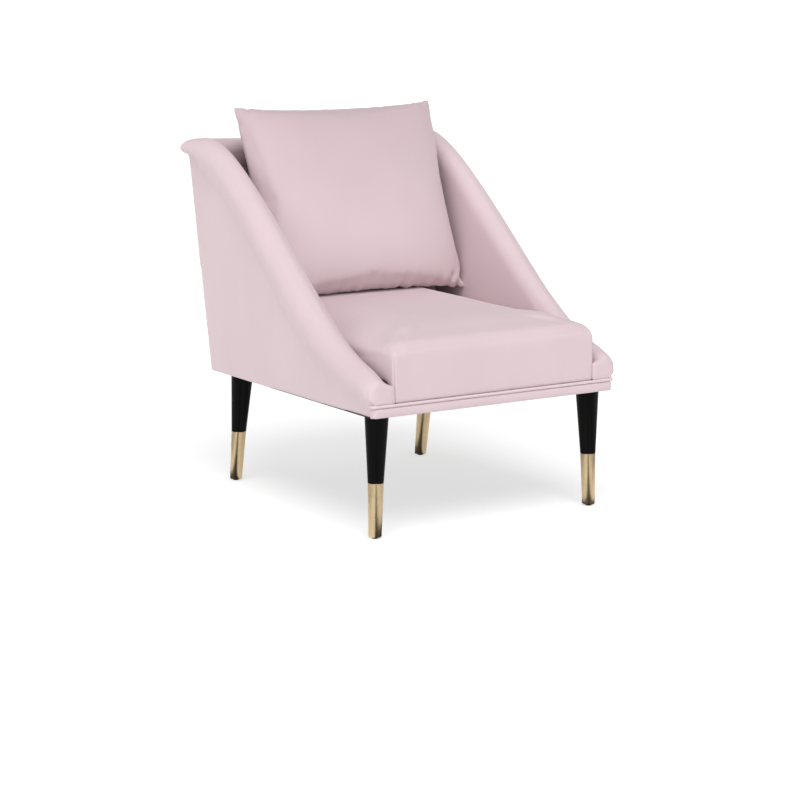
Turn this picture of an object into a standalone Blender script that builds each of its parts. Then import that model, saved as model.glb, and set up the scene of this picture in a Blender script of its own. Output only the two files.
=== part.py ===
"""Upholstered armchair with sloping rolled arms, a raked back, a fixed seat, a loose back pillow
and four tapered legs in brass ferrules.

Metres, +Z up. +X is to the right of someone who faces the chair, and the sitter looks along -Y.
The origin is on the floor, under the middle of the chair's box.
"""

from math import atan2, cos, hypot, pi, radians, sin, tan

import bmesh
import bpy
from mathutils import Matrix, Vector
from mathutils.geometry import interpolate_bezier

# Driving dimensions
DEPTH = 0.880  # from the piping in front to the lip of the back
WIDTH = 0.696  # over the lips of the arms
BODY_WIDTH = 0.670  # over the outside covers, under the lips
BASE_Z = 0.283  # underside of the body
CREST_Z = 0.855  # top of the back
SEAT_Z = 0.470
PILLOW_TOP_Z = 0.931
RAKE = radians(10.5)  # of the back, from upright

# The ridge of an arm, as (Y, Z): two Bezier stretches, each as knot, handle, handle, knot
ARM_SLOPE = ((-0.432, 0.381), (-0.198, 0.393), (0.106, 0.789), (0.321, 0.849))
ARM_TOP = ((0.321, 0.849), (0.355, 0.8585), (0.385, 0.858), (0.4385, 0.850))

# Cloth, foam and boards
SKIN = 0.0015  # fabric with its lining
GAP = 0.0003  # clearance between neighbours
LINED = SKIN + GAP  # how far padding lies under the face of its cover
RAIL_HEIGHT = 0.050
RAIL_Z = BASE_Z + 0.0013  # rails stand on the dust cover
RAIL_TOP = RAIL_Z + RAIL_HEIGHT

# Arms, measured outward from the middle of the chair
ARM_INSIDE = 0.2852
ROLL_OUTSIDE = WIDTH / 2
PANEL_OUTSIDE = BODY_WIDTH / 2
BOARD_IN, BOARD_OUT = 0.307, 0.325
ROLL_DEPTH_IN, ROLL_DEPTH_OUT = 0.045, 0.066  # how far the roll comes down inside and outside

# Front, seat and back
FRONT_Y = -DEPTH / 2
PIPING_RADIUS = 0.0035
BAND_TOP = 0.3055
SEAT_FRONT_Y = FRONT_Y + 0.0035
SEAT_HALF = 0.279
SEAT_BOTTOM = 0.3515
SEAT_APRON = 0.3135  # lower edge of the seat's front
SEAT_BACK_Y = 0.2265
SEAT_NOSE_DROP = 0.016  # how much lower the seat is where its front begins to curve
NOSE_RADIUS = 0.042
FRONT_RAIL = (-0.420, -0.400)
REAR_RAIL = (0.280, 0.305)
REAR_Y = 0.316  # outside of the back at the body's underside
BACK_THICKNESS = 0.0986

# The wooden frame, half widths along X and heights up the rake
RAIL_HALF = 0.3065
SIDE_RAIL = (0.257, 0.282)
BLOCK_INSIDE = 0.246
BLOCK_LENGTH = 0.060
POST = (0.268, 0.303)
POST_RUN = (0.052, 0.500)
TOP_RAIL_RUN = (0.452, 0.500)
LOWER_RAIL_RUN = (0.140, 0.185)
BACK_FRAME = (-0.050, -0.012)  # forward and rear faces, from the outside of the back
WEBBING_HEIGHTS = (0.23, 0.31, 0.39)
WEBBING_HALF = (0.300, 0.025)  # half its length and half its width
WEBBING_THICKNESS = 0.003
BOARD_REAR_Y = 0.388  # rear end of an arm board's top edge
BOARD_SETBACK = 0.012  # from the outside of the back
PANEL_TOP_Z = 0.78  # where the back edge of an arm's panels ends
SPRING_X = (-0.192, -0.064, 0.064, 0.192)

# Legs
FRONT_LEG_TOP, FRONT_LEG_FOOT = (0.294, -0.388), (0.301, -0.391)
REAR_LEG_TOP, REAR_LEG_FOOT = (0.276, 0.265), (0.276, 0.306)
LEG_RADIUS, SLEEVE_RADIUS, FOOT_RADIUS = 0.0275, 0.01825, 0.01475
SLEEVE_TOP_Z = 0.128
SLEEVE_WALL = 0.002
GLIDE_HEIGHT = 0.0037
GLIDE_RADIUS = 0.0075
NAIL_TOP = 0.020  # of the nail that holds the glide
NAIL_RADIUS = 0.0015
SLEEVE_HOLE = 0.003  # radius of the hole in the sleeve's floor
SLEEVE_FLOOR = 0.0085  # height of the sleeve's floor
TENON_LOW = 0.012  # lower end of the wood inside the sleeve
BOLT_RADIUS = 0.004
BOLT_Z = (0.253, 0.320)

# Loose pillow
PILLOW_WIDTH, PILLOW_HEIGHT, PILLOW_THICKNESS = 0.556, 0.4855, 0.160
PILLOW_LEAN = radians(19.5)
PILLOW_Y = 0.199
PILLOW_PULL = 0.014  # how far each side bows in between its corners
PILLOW_RIM = 0.004  # half the thickness at the seam
PILLOW_SLIT = 0.30  # length of the opening for the filling

# Colours, as linear red, green, blue, then roughness and metallic
VELVET = ((0.75, 0.61, 0.64), 0.80, 0.0)
WELT = ((0.72, 0.58, 0.61), 0.75, 0.0)
LINING = ((0.02, 0.02, 0.02), 0.90, 0.0)
FOAM = ((0.85, 0.80, 0.62), 0.95, 0.0)
FIBRE = ((0.88, 0.88, 0.86), 0.95, 0.0)
FELT = ((0.35, 0.33, 0.30), 0.95, 0.0)
WEBBING = ((0.45, 0.33, 0.20), 0.85, 0.0)
PINE = ((0.62, 0.43, 0.24), 0.65, 0.0)
PLYWOOD = ((0.58, 0.41, 0.25), 0.70, 0.0)
EBONISED = ((0.010, 0.009, 0.009), 0.35, 0.0)
BRASS = ((0.62, 0.46, 0.24), 0.28, 1.0)
STEEL = ((0.52, 0.53, 0.55), 0.35, 1.0)
NYLON = ((0.015, 0.015, 0.015), 0.50, 0.0)


def clear_scene():
    for obj in list(bpy.data.objects):
        bpy.data.objects.remove(obj, do_unlink=True)


def collection(name):
    made = bpy.data.collections.new(name)
    bpy.context.scene.collection.children.link(made)
    return made


def painted(name, finish):
    """A material of this part's own."""
    colour, roughness, metallic = finish
    material = bpy.data.materials.new(name)
    material.use_nodes = True
    shader = material.node_tree.nodes["Principled BSDF"]
    shader.inputs["Base Color"].default_value = (*colour, 1.0)
    shader.inputs["Roughness"].default_value = roughness
    shader.inputs["Metallic"].default_value = metallic
    return material


def piece(name, data, finish, parent=None):
    """An object of the chair from a mesh or curve."""
    obj = bpy.data.objects.new(name, data)
    data.materials.append(painted(name, finish))
    CHAIR.objects.link(obj)
    obj.parent = parent
    return obj


def empty(name, location, rotation=(0, 0, 0)):
    obj = bpy.data.objects.new(name, None)
    obj.location = location
    obj.rotation_euler = rotation
    CHAIR.objects.link(obj)
    return obj


def mesh_of(name, bm):
    bmesh.ops.recalc_face_normals(bm, faces=bm.faces)
    mesh = bpy.data.meshes.new(name)
    bm.to_mesh(mesh)
    bm.free()
    return mesh


def box_mesh(name, low, high):
    bm = bmesh.new()
    size = [b - a for a, b in zip(low, high)]
    middle = [(a + b) / 2 for a, b in zip(low, high)]
    bmesh.ops.create_cube(bm, size=1, matrix=Matrix.Translation(middle) @ Matrix.Diagonal((*size, 1)))
    return mesh_of(name, bm)


def box(name, low, high, finish, parent=None):
    return piece(name, box_mesh(name, low, high), finish, parent)


def outline(name, points, x_low, x_high):
    """A flat outline of (Y, Z) points, as thick along X as from x_low to x_high, as a mesh."""
    curve = bpy.data.curves.new(name, "CURVE")
    curve.dimensions = "2D"
    curve.fill_mode = "BOTH"
    curve.extrude = abs(x_high - x_low) / 2
    spline = curve.splines.new("POLY")
    spline.points.add(len(points) - 1)
    for point, (y, z) in zip(spline.points, points):
        point.co = (y, z, 0, 1)
    spline.use_cyclic_u = True
    guide = bpy.data.objects.new(name + "_outline", curve)
    bpy.context.scene.collection.objects.link(guide)
    bpy.context.view_layer.update()
    mesh = bpy.data.meshes.new_from_object(guide.evaluated_get(bpy.context.evaluated_depsgraph_get()))
    bpy.data.objects.remove(guide, do_unlink=True)
    upright = Matrix.Rotation(pi / 2, 4, "Z") @ Matrix.Rotation(pi / 2, 4, "X")
    bm = bmesh.new()
    bm.from_mesh(mesh)
    bpy.data.meshes.remove(mesh)
    bmesh.ops.remove_doubles(bm, verts=bm.verts, dist=0.00001)
    across = Matrix.Translation(((x_low + x_high) / 2, 0, 0))
    bmesh.ops.transform(bm, verts=bm.verts, matrix=across @ upright)
    return mesh_of(name, bm)


def loft(name, rings):
    """A closed solid through rings that have the same number of points."""
    bm = bmesh.new()
    loops = [[bm.verts.new(point) for point in ring] for ring in rings]
    for a, b in zip(loops, loops[1:]):
        for i in range(len(a)):
            bm.faces.new((a[i - 1], a[i], b[i], b[i - 1]))
    bmesh.ops.triangulate(bm, faces=bm.faces, quad_method="FIXED")
    bm.faces.new(loops[0])
    bm.faces.new(loops[-1])
    return mesh_of(name, bm)


def turned(name, profile, finish, steps=24):
    """A body turned about Z from (radius, height) points, which run down its outer side."""
    mesh = bpy.data.meshes.new(name)
    closed = profile[0][0] > 0
    ends = [(i, i + 1) for i in range(len(profile) - 1)]
    if closed:
        ends.append((len(profile) - 1, 0))
    mesh.from_pydata([(r, 0, z) for r, z in profile], ends, [])
    obj = piece(name, mesh, finish)
    screw = obj.modifiers.new("turned", "SCREW")
    screw.steps = screw.render_steps = steps
    screw.use_merge_vertices = True
    screw.merge_threshold = 0.00001
    return obj


def cut(obj, name, mesh, parent=None):
    """Takes a cutter out of an object."""
    cutter = bpy.data.objects.new(name, mesh)
    CUTTERS.objects.link(cutter)
    cutter.parent = parent
    cutter.hide_render = True
    cutter.display_type = "WIRE"
    boolean = obj.modifiers.new(name, "BOOLEAN")
    boolean.object = cutter
    boolean.operation = "DIFFERENCE"
    boolean.solver = "EXACT"


def rod_mesh(name, x, y, low, high, radius, sides=12):
    bm = bmesh.new()
    place = Matrix.Translation((x, y, (low + high) / 2))
    bmesh.ops.create_cone(
        bm, cap_ends=True, segments=sides, radius1=radius, radius2=radius, depth=high - low, matrix=place
    )
    return mesh_of(name, bm)


# ---------------------------------------------------------------- the line of the arms


def ridge(drop=0.0, front=None, back=None, steps=11):
    """(Y, Z) points of the line `drop` under the arms' ridge, from its front end to its back end.

    Only the stretch between the heights of Y `front` and `back` is kept.
    """
    knots = [[Vector((y, z, 0)) for y, z in part] for part in (ARM_SLOPE, ARM_TOP)]
    line = interpolate_bezier(*knots[0], steps)[:-1] + interpolate_bezier(*knots[1], 5)
    found = []
    for i, point in enumerate(line):
        ahead = line[min(i + 1, len(line) - 1)] - line[max(i - 1, 0)]
        ahead.normalize()
        found.append((point.x + drop * ahead.y, point.y - drop * ahead.x))
    low = found[0][0] if front is None else front
    high = found[-1][0] if back is None else back
    return [at_y(found, low)] + [p for p in found if low < p[0] < high] + [at_y(found, high)]


def at_y(line, y):
    """The point of a rising line at this Y, carried straight on past its ends."""
    pairs = list(zip(line, line[1:]))
    a, b = next((pair for pair in pairs if pair[1][0] >= y), pairs[-1])
    return y, a[1] + (b[1] - a[1]) * (y - a[0]) / (b[0] - a[0])


def roll_section(inset, drop_in=ROLL_DEPTH_IN, drop_out=ROLL_DEPTH_OUT):
    """The roll across its length, as (outward, down) points, `inset` under the face of its cover."""
    middle = (ARM_INSIDE + ROLL_OUTSIDE) / 2
    half = (ROLL_OUTSIDE - ARM_INSIDE) / 2 - inset
    shoulder, turns = 0.024, 8
    points = [(middle - half, drop_in)]
    for i in range(turns + 1):
        angle = pi * (1 - i / turns)
        points.append((middle + half * cos(angle), shoulder - (shoulder - inset) * sin(angle)))
    foot = PANEL_OUTSIDE + 0.0005 - inset
    points.append((foot + 0.6 * (middle + half - foot), 0.052))
    points.append((foot, ROLL_DEPTH_OUT))
    if drop_out > ROLL_DEPTH_OUT:
        return points + [(foot, drop_out), (foot - 0.005, drop_out)]
    slot = BOARD_OUT + 0.0012
    return points + [(slot, drop_out), (slot - 0.0005, drop_in)]


def roll_rings(inset, side, trim=0.0, open_below=False):
    """The roll's section repeated along the ridge, `trim` short of both ends.

    In front of the board it is plumb, and as deep inside as outside, and closes the arm's front.
    """
    deep = 0.090 if open_below else ROLL_DEPTH_OUT
    shallow = 0.090 if open_below else ROLL_DEPTH_IN
    ridge_line = ridge()
    step = FRONT_RAIL[0] - 0.0060
    line = ridge(front=ridge_line[0][0] + trim, back=ridge_line[-1][0] - trim)
    line[1:1] = [at_y(line, step), at_y(line, step + GAP)]
    rings = []
    for i, (y, z) in enumerate(line):
        ahead = Vector(line[min(i + 1, len(line) - 1)]) - Vector(line[max(i - 1, 0)])
        ahead = Vector((1, 0)) if i < 3 else ahead.normalized()
        section = roll_section(inset, deep if i < 2 else shallow, deep)
        rings.append([(side * out, y + down * ahead.y, z - down * ahead.x) for out, down in section])
    return rings


def back_y(z, forward=0.0):
    """Y of the plane `forward` of the back's outside, at this height."""
    return REAR_Y + (z - BASE_Z) * tan(RAKE) - forward / cos(RAKE)


# ---------------------------------------------------------------- the frame


def make_base_frame():
    for name, (front, rear) in (("front_rail", FRONT_RAIL), ("rear_rail", REAR_RAIL)):
        box(name, (-RAIL_HALF, front, RAIL_Z), (RAIL_HALF, rear, RAIL_TOP), PINE)
    front_block = (FRONT_RAIL[1] + GAP, FRONT_RAIL[1] + BLOCK_LENGTH)
    rear_block = (REAR_RAIL[0] - BLOCK_LENGTH, REAR_RAIL[0] - GAP)
    for side, word in ((-1, "left"), (1, "right")):
        rail = sorted(side * x for x in SIDE_RAIL)
        low = (rail[0], front_block[1] + GAP, RAIL_Z)
        high = (rail[1], rear_block[0] - GAP, RAIL_TOP)
        box(f"{word}_side_rail", low, high, PINE)
        block = sorted((side * BLOCK_INSIDE, side * RAIL_HALF))
        corners = (("front", front_block, FRONT_LEG_TOP), ("rear", rear_block, REAR_LEG_TOP))
        for end, (y_low, y_high), (x, y) in corners:
            name = f"{end}_{word}_corner_block"
            made = box(name, (block[0], y_low, RAIL_Z), (block[1], y_high, RAIL_TOP), PINE)
            hole = rod_mesh(name, side * x, y, BASE_Z - 0.01, BOLT_Z[1] + 0.002, BOLT_RADIUS + 0.0005)
            cut(made, name + "_hole", hole)


def make_arm_boards():
    top = ridge(ROLL_DEPTH_IN + GAP, FRONT_RAIL[0], BOARD_REAR_Y)
    points = [(FRONT_RAIL[0], RAIL_Z)]
    points += [(back_y(z, BOARD_SETBACK), z) for z in (RAIL_Z, PANEL_TOP_Z)] + top[::-1]
    for side, word in ((-1, "left"), (1, "right")):
        mesh = outline(f"{word}_arm_board", points, *sorted((side * BOARD_IN, side * BOARD_OUT)))
        piece(f"{word}_arm_board", mesh, PLYWOOD)


def make_back_frame(raked):
    """Posts, rails and webbing, along the rake: Y forward of the outside is negative, Z runs up it."""
    front, rear = BACK_FRAME
    for side, word in ((-1, "left"), (1, "right")):
        across = sorted(side * x for x in POST)
        low, high = (across[0], front, POST_RUN[0]), (across[1], rear, POST_RUN[1])
        box(f"{word}_back_post", low, high, PINE, raked)
    half = POST[0] - GAP
    for word, (low, high) in (("top", TOP_RAIL_RUN), ("lower", LOWER_RAIL_RUN)):
        box(f"{word}_back_rail", (-half, front, low), (half, rear, high), PINE, raked)
    length, width = WEBBING_HALF
    for number, height in enumerate(WEBBING_HEIGHTS, 1):
        low = (-length, front - WEBBING_THICKNESS, height - width)
        high = (length, front - GAP, height + width)
        box(f"back_webbing_{number}", low, high, WEBBING, raked)


def make_springs():
    """Zigzag seat springs, which bow up a little between the front and rear rails."""
    radius, sway, waves, steps, bow = 0.0019, 0.024, 7, 6, 0.006
    y_front, y_rear = FRONT_RAIL[1] - 0.012, REAR_RAIL[0] + 0.012
    count = waves * steps
    for number, x in enumerate(SPRING_X, 1):
        curve = bpy.data.curves.new(f"seat_spring_{number}", "CURVE")
        curve.dimensions = "3D"
        curve.bevel_depth = radius
        curve.bevel_resolution = 1
        curve.use_fill_caps = True
        spline = curve.splines.new("POLY")
        spline.points.add(count)
        for i, point in enumerate(spline.points):
            along = i / count
            y = y_front + (y_rear - y_front) * along
            z = RAIL_TOP + GAP + radius + bow * sin(pi * along)
            point.co = (x + sway * sin(2 * pi * i / steps), y, z, 1)
        piece(f"seat_spring_{number}", curve, STEEL)


# ---------------------------------------------------------------- seat, back and arms


def seat_profile(inset, apron, lip, bottom):
    """The seat from the side: a nose of two rounds, a top that rises to level, and an upright back."""
    front, top = SEAT_FRONT_Y + inset, SEAT_Z - inset
    radius = NOSE_RADIUS - inset
    points = [(front, apron)]
    for i in range(6):
        angle = pi - i * radians(76) / 5
        height = top - SEAT_NOSE_DROP - radius * (1 - sin(angle))
        points.append((front + radius * (1 + cos(angle)), height))
    points += [(front + 0.115, top - 0.004), (front + 0.190, top)]
    points += [(SEAT_BACK_Y - inset, top), (SEAT_BACK_Y - inset, bottom)]
    return points + [(lip, bottom), (lip, apron)] if lip is not None else points


def make_seat():
    low = (-0.270, FRONT_RAIL[1] - 0.015, SEAT_BOTTOM - 0.0035)
    high = (0.270, SEAT_BACK_Y - LINED, SEAT_BOTTOM - GAP)
    box("seat_insulator", low, high, FELT)
    lip = FRONT_RAIL[0] - 0.0013
    half = SEAT_HALF - LINED
    profile = seat_profile(LINED, SEAT_APRON + 0.0015, lip, SEAT_BOTTOM + 0.0005)
    piece("seat_foam", outline("seat_foam", profile, -half, half), FOAM)
    profile = seat_profile(0.0, SEAT_APRON, lip + 0.0003, SEAT_BOTTOM)
    cover = piece("seat_cover", outline("seat_cover", profile, -SEAT_HALF, SEAT_HALF), VELVET)
    half = SEAT_HALF - SKIN
    profile = seat_profile(SKIN, SEAT_APRON - 0.01, None, SEAT_APRON - 0.01)
    cut(cover, "seat_cover_inside", outline("seat_cover_inside", profile, -half, half))


def make_back_padding(raked):
    rear, front = -0.0570, SKIN - BACK_THICKNESS + GAP
    box("back_foam", (-0.3055, front, 0.062), (0.3055, rear, 0.488), FOAM, raked)
    low = (-0.3055, -BACK_THICKNESS, 0.062)
    box("inside_back_cover", low, (0.3055, SKIN - BACK_THICKNESS, 0.488), VELVET, raked)
    box("outside_back_cover", (-0.3325, -SKIN, 0.0), (0.3325, 0.0, 0.5108), VELVET, raked)


def back_roll_section(inset, bottom):
    """The rolled top edge of the back, as (Y, Z): flat on top, with a lip that turns out and under."""
    front, rear, lip = 0.322 + inset, DEPTH / 2 - inset, 0.018
    radius = lip - inset
    points = [(front, bottom), (front, CREST_Z - 0.025)]
    points += [(front + 0.009, CREST_Z - 0.009 - inset), (front + 0.030, CREST_Z - inset)]
    for i in range(7):
        angle = pi / 2 - i * radians(150) / 6
        points.append((rear - radius + radius * cos(angle), CREST_Z - lip + radius * sin(angle)))
    return points + [(0.4085 - inset, CREST_Z - 0.050), (0.4085 - inset, bottom)]


def make_back_roll():
    half, bottom = ARM_INSIDE - GAP, 0.7865
    section = back_roll_section(LINED, bottom + 0.0005)
    mesh = outline("back_roll_padding", section, LINED - half, half - LINED)
    piece("back_roll_padding", mesh, FOAM)
    mesh = outline("back_roll_cover", back_roll_section(0.0, bottom), -half, half)
    cover = piece("back_roll_cover", mesh, VELVET)
    inside = outline("back_roll_inside", back_roll_section(SKIN, bottom - 0.01), SKIN - half, half - SKIN)
    cut(cover, "back_roll_inside", inside)


def make_arms():
    inner_low = RAIL_TOP + 0.002
    under_roll = ridge(ROLL_DEPTH_IN + GAP, -0.330)
    inner_top = [p for p in under_roll if p[0] < back_y(p[1], BACK_THICKNESS) - 0.002]
    crown = at_y(under_roll, back_y(inner_top[-1][1], BACK_THICKNESS) - 0.0005)
    inside = [(inner_top[0][0], inner_low), (back_y(inner_low, BACK_THICKNESS) - 0.001, inner_low), crown]
    inside += inner_top[::-1]
    outer_top = ridge(ROLL_DEPTH_OUT + 2 * GAP, SEAT_FRONT_Y + 0.004, 0.404)
    outside = [(SEAT_FRONT_Y + 0.004, BASE_Z), (REAR_Y - 0.0005, BASE_Z)]
    outside.append((back_y(PANEL_TOP_Z, 0.0005), PANEL_TOP_Z))
    outside += outer_top[::-1]
    for side, word in ((-1, "left"), (1, "right")):
        slabs = (
            ("inside_arm_padding", inside, ARM_INSIDE + SKIN + GAP, BOARD_IN - GAP, FOAM),
            ("inside_arm_cover", inside, ARM_INSIDE, ARM_INSIDE + SKIN, VELVET),
            ("outside_arm_cover", outside, PANEL_OUTSIDE - SKIN, PANEL_OUTSIDE, VELVET),
        )
        for what, points, near, far, finish in slabs:
            name = f"{word}_{what}"
            piece(name, outline(name, points, *sorted((side * near, side * far))), finish)
        name = f"{word}_arm_roll_padding"
        piece(name, loft(name, roll_rings(LINED, side, LINED)), FOAM)
        name = f"{word}_arm_roll_cover"
        cover = piece(name, loft(name, roll_rings(0.0, side)), VELVET)
        hollow = roll_rings(SKIN, side, SKIN, open_below=True)
        cut(cover, name + "_inside", loft(name + "_inside", hollow))


def make_front_trim():
    half = PANEL_OUTSIDE - 0.002
    low = (-half, SEAT_FRONT_Y + 0.001, BASE_Z + 0.0005)
    box("front_band", low, (half, FRONT_RAIL[0] - 0.001, BAND_TOP), VELVET)
    curve = bpy.data.curves.new("front_piping", "CURVE")
    curve.dimensions = "3D"
    curve.bevel_depth = PIPING_RADIUS - 0.0001
    curve.bevel_resolution = 4
    curve.use_fill_caps = True
    spline = curve.splines.new("POLY")
    spline.points.add(1)
    for point, x in zip(spline.points, (-half, half)):
        point.co = (x, FRONT_Y + PIPING_RADIUS, BAND_TOP + GAP + PIPING_RADIUS, 1)
    piece("front_piping", curve, WELT)


def make_dust_cover():
    low = (-0.3320, SEAT_FRONT_Y + 0.016, BASE_Z)
    cover = box("dust_cover", low, (0.3320, REAR_Y - 0.004, BASE_Z + 0.0010), LINING)
    for side in (-1, 1):
        for x, y in (FRONT_LEG_TOP, REAR_LEG_TOP):
            hole = rod_mesh("dust_cover_hole", side * x, y, BASE_Z - 0.01, BASE_Z + 0.01, 0.006)
            cut(cover, "dust_cover_hole", hole)


# ---------------------------------------------------------------- legs and pillow


def make_leg(word, side, top, foot):
    """One leg about its own leaning axis, with level ends, its sleeve, its glide and its bolt."""
    x, y = side * foot[0], foot[1]
    lean_x, lean_y = side * (top[0] - foot[0]), top[1] - foot[1]
    length = hypot(lean_x, lean_y, BASE_Z)
    turn = (atan2(-lean_y, BASE_Z), atan2(lean_x, hypot(lean_y, BASE_Z)), 0)
    stretch = length / BASE_Z
    shoulder, above = SLEEVE_TOP_Z * stretch, 0.02
    grow = (LEG_RADIUS - SLEEVE_RADIUS) / (length - shoulder)
    shrink = (SLEEVE_RADIUS - FOOT_RADIUS) / shoulder
    tenon_top, play = shoulder - 0.001, SLEEVE_WALL + 0.0006
    wood = [(0, length + above), (LEG_RADIUS + grow * above, length + above)]
    wood += [(SLEEVE_RADIUS, shoulder), (SLEEVE_RADIUS - play, shoulder)]
    wood += [(FOOT_RADIUS + shrink * z - play, z) for z in (tenon_top, TENON_LOW)]
    wood += [(0, TENON_LOW)]
    leg = turned(f"{word}_leg", wood, EBONISED)
    inner = FOOT_RADIUS - SLEEVE_WALL
    sleeve_top, spare = shoulder - GAP, 0.006
    brass = [(FOOT_RADIUS + shrink * sleeve_top, sleeve_top), (FOOT_RADIUS, -spare)]
    brass += [(SLEEVE_HOLE, -spare), (SLEEVE_HOLE, SLEEVE_FLOOR)]
    brass += [(inner + shrink * z, z) for z in (SLEEVE_FLOOR, sleeve_top)]
    sleeve = turned(f"{word}_ferrule", brass, BRASS)
    for obj in (leg, sleeve):
        obj.location = (x, y, 0)
        obj.rotation_euler = turn
    wide = 0.06
    above_body = ((x - wide, y - wide * 2, BASE_Z - GAP), (x + wide, y + wide, BASE_Z + 0.10))
    cut(leg, f"{word}_leg_top", box_mesh("leg_top", *above_body))
    low, high = BOLT_Z
    hole = rod_mesh("bolt_hole", side * top[0], top[1], low - 0.003, BASE_Z + 0.01, BOLT_RADIUS + 0.0005)
    cut(leg, f"{word}_bolt_hole", hole)
    cut(leg, f"{word}_nail_hole", rod_mesh("nail_hole", x, y, -0.01, 0.024, 0.002))
    below_floor = ((x - wide, y - wide, -0.05), (x + wide, y + wide, GLIDE_HEIGHT + GAP))
    cut(sleeve, f"{word}_ferrule_foot", box_mesh("ferrule_foot", *below_floor))
    glide = [(0, NAIL_TOP), (NAIL_RADIUS, NAIL_TOP), (NAIL_RADIUS, GLIDE_HEIGHT)]
    glide += [(GLIDE_RADIUS, GLIDE_HEIGHT), (GLIDE_RADIUS, 0), (0, 0)]
    turned(f"{word}_glide", glide, NYLON, steps=20).location = (x, y, 0)
    bevel = 0.0012
    bolt = [(0, high), (BOLT_RADIUS - bevel, high), (BOLT_RADIUS, high - bevel)]
    bolt += [(BOLT_RADIUS, low + bevel), (BOLT_RADIUS - bevel, low), (0, low)]
    turned(f"{word}_hanger_bolt", bolt, STEEL, steps=12).location = (side * top[0], top[1], 0)


def make_legs():
    for side, word in ((-1, "left"), (1, "right")):
        make_leg(f"front_{word}", side, FRONT_LEG_TOP, FRONT_LEG_FOOT)
        make_leg(f"rear_{word}", side, REAR_LEG_TOP, REAR_LEG_FOOT)


def pillow_mesh(name, inset):
    """A plump square form with a thin rim, its four sides bowed in between pointed corners."""
    bm = bmesh.new()
    bmesh.ops.create_cube(bm, size=2)
    bmesh.ops.subdivide_edges(bm, edges=bm.edges, cuts=5, use_grid_fill=True)
    half_width, half_height = PILLOW_WIDTH / 2 - inset, PILLOW_HEIGHT / 2 - inset
    rim, plump = PILLOW_RIM - inset, PILLOW_THICKNESS / 2 - PILLOW_RIM
    for vert in bm.verts:
        u, w, v = vert.co
        inner = max(abs(u), abs(v)) < 0.999
        crown = ((1 - abs(u) ** 2.6) * (1 - abs(v) ** 2.6)) ** 0.6 if inner else 0.0
        vert.co.x = u * (half_width - PILLOW_PULL * (1 - v * v))
        vert.co.y = w * (rim + plump * crown)
        vert.co.z = v * (half_height - PILLOW_PULL * (1 - u * u))
    bmesh.ops.triangulate(bm, faces=bm.faces, quad_method="FIXED")
    return mesh_of(name, bm)


def make_pillow():
    """A cover with a slit along its lower seam, and the filling in it."""
    rise = PILLOW_TOP_Z - PILLOW_HEIGHT / 2 * cos(PILLOW_LEAN) - PILLOW_RIM * sin(PILLOW_LEAN)
    leaning = empty("pillow_lift", (0, PILLOW_Y, rise), (-PILLOW_LEAN, 0, 0))
    cover = piece("pillow_cover", pillow_mesh("pillow_cover", 0.0), VELVET, leaning)
    cut(cover, "pillow_inside", pillow_mesh("pillow_inside", SKIN), leaning)
    slit = ((-PILLOW_SLIT / 2, -0.0012, -0.30), (PILLOW_SLIT / 2, 0.0012, -0.20))
    cut(cover, "pillow_slit", box_mesh("pillow_slit", *slit), leaning)
    piece("pillow_insert", pillow_mesh("pillow_insert", LINED + GAP), FIBRE, leaning)


clear_scene()
CHAIR = collection("upholstered_armchair")
CUTTERS = collection("cutters")


def main():
    raked = empty("raked_back", (0, REAR_Y, BASE_Z), (-RAKE, 0, 0))
    make_base_frame()
    make_arm_boards()
    make_back_frame(raked)
    make_springs()
    make_seat()
    make_back_padding(raked)
    make_back_roll()
    make_arms()
    make_front_trim()
    make_dust_cover()
    make_legs()
    make_pillow()
    for obj in CHAIR.objects:
        if obj.type == "MESH":
            obj.data.shade_smooth()
            obj.data.set_sharp_from_angle(angle=radians(35))


main()
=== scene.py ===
"""Looks of an upholstered armchair: velvet covers, lacquered legs in brass ferrules, and a studio.

Metres, +Z up, the chair faces -Y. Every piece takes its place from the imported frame.
"""

from math import cos, exp, hypot, pi, radians, sin, sqrt, tan

import bmesh
import bpy
from mathutils import Matrix, Vector, noise
from mathutils.bvhtree import BVHTree
from mathutils.geometry import interpolate_bezier


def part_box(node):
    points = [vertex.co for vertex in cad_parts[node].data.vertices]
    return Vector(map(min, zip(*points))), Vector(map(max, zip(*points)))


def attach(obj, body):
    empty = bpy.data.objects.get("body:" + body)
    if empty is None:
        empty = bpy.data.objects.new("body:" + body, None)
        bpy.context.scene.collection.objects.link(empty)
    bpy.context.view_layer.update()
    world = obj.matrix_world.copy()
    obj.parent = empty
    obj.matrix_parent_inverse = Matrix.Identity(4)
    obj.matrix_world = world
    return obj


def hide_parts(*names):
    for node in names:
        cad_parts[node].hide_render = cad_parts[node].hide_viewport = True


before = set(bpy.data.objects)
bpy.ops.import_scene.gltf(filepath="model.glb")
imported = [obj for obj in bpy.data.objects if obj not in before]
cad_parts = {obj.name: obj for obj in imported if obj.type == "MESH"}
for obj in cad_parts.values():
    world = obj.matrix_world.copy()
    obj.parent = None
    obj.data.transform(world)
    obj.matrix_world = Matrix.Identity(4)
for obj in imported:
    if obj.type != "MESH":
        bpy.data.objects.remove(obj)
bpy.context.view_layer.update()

bl_info = {
    "name": "Upholstered Armchair",
    "version": (1, 0, 0),
    "blender": (4, 5, 0),
    "location": "View3D > Sidebar > Armchair",
    "description": "Builds the covers, cushions, legs and studio of an upholstered armchair",
    "category": "Add Mesh",
}

SIDES = ((-1, "left"), (1, "right"))

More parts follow.
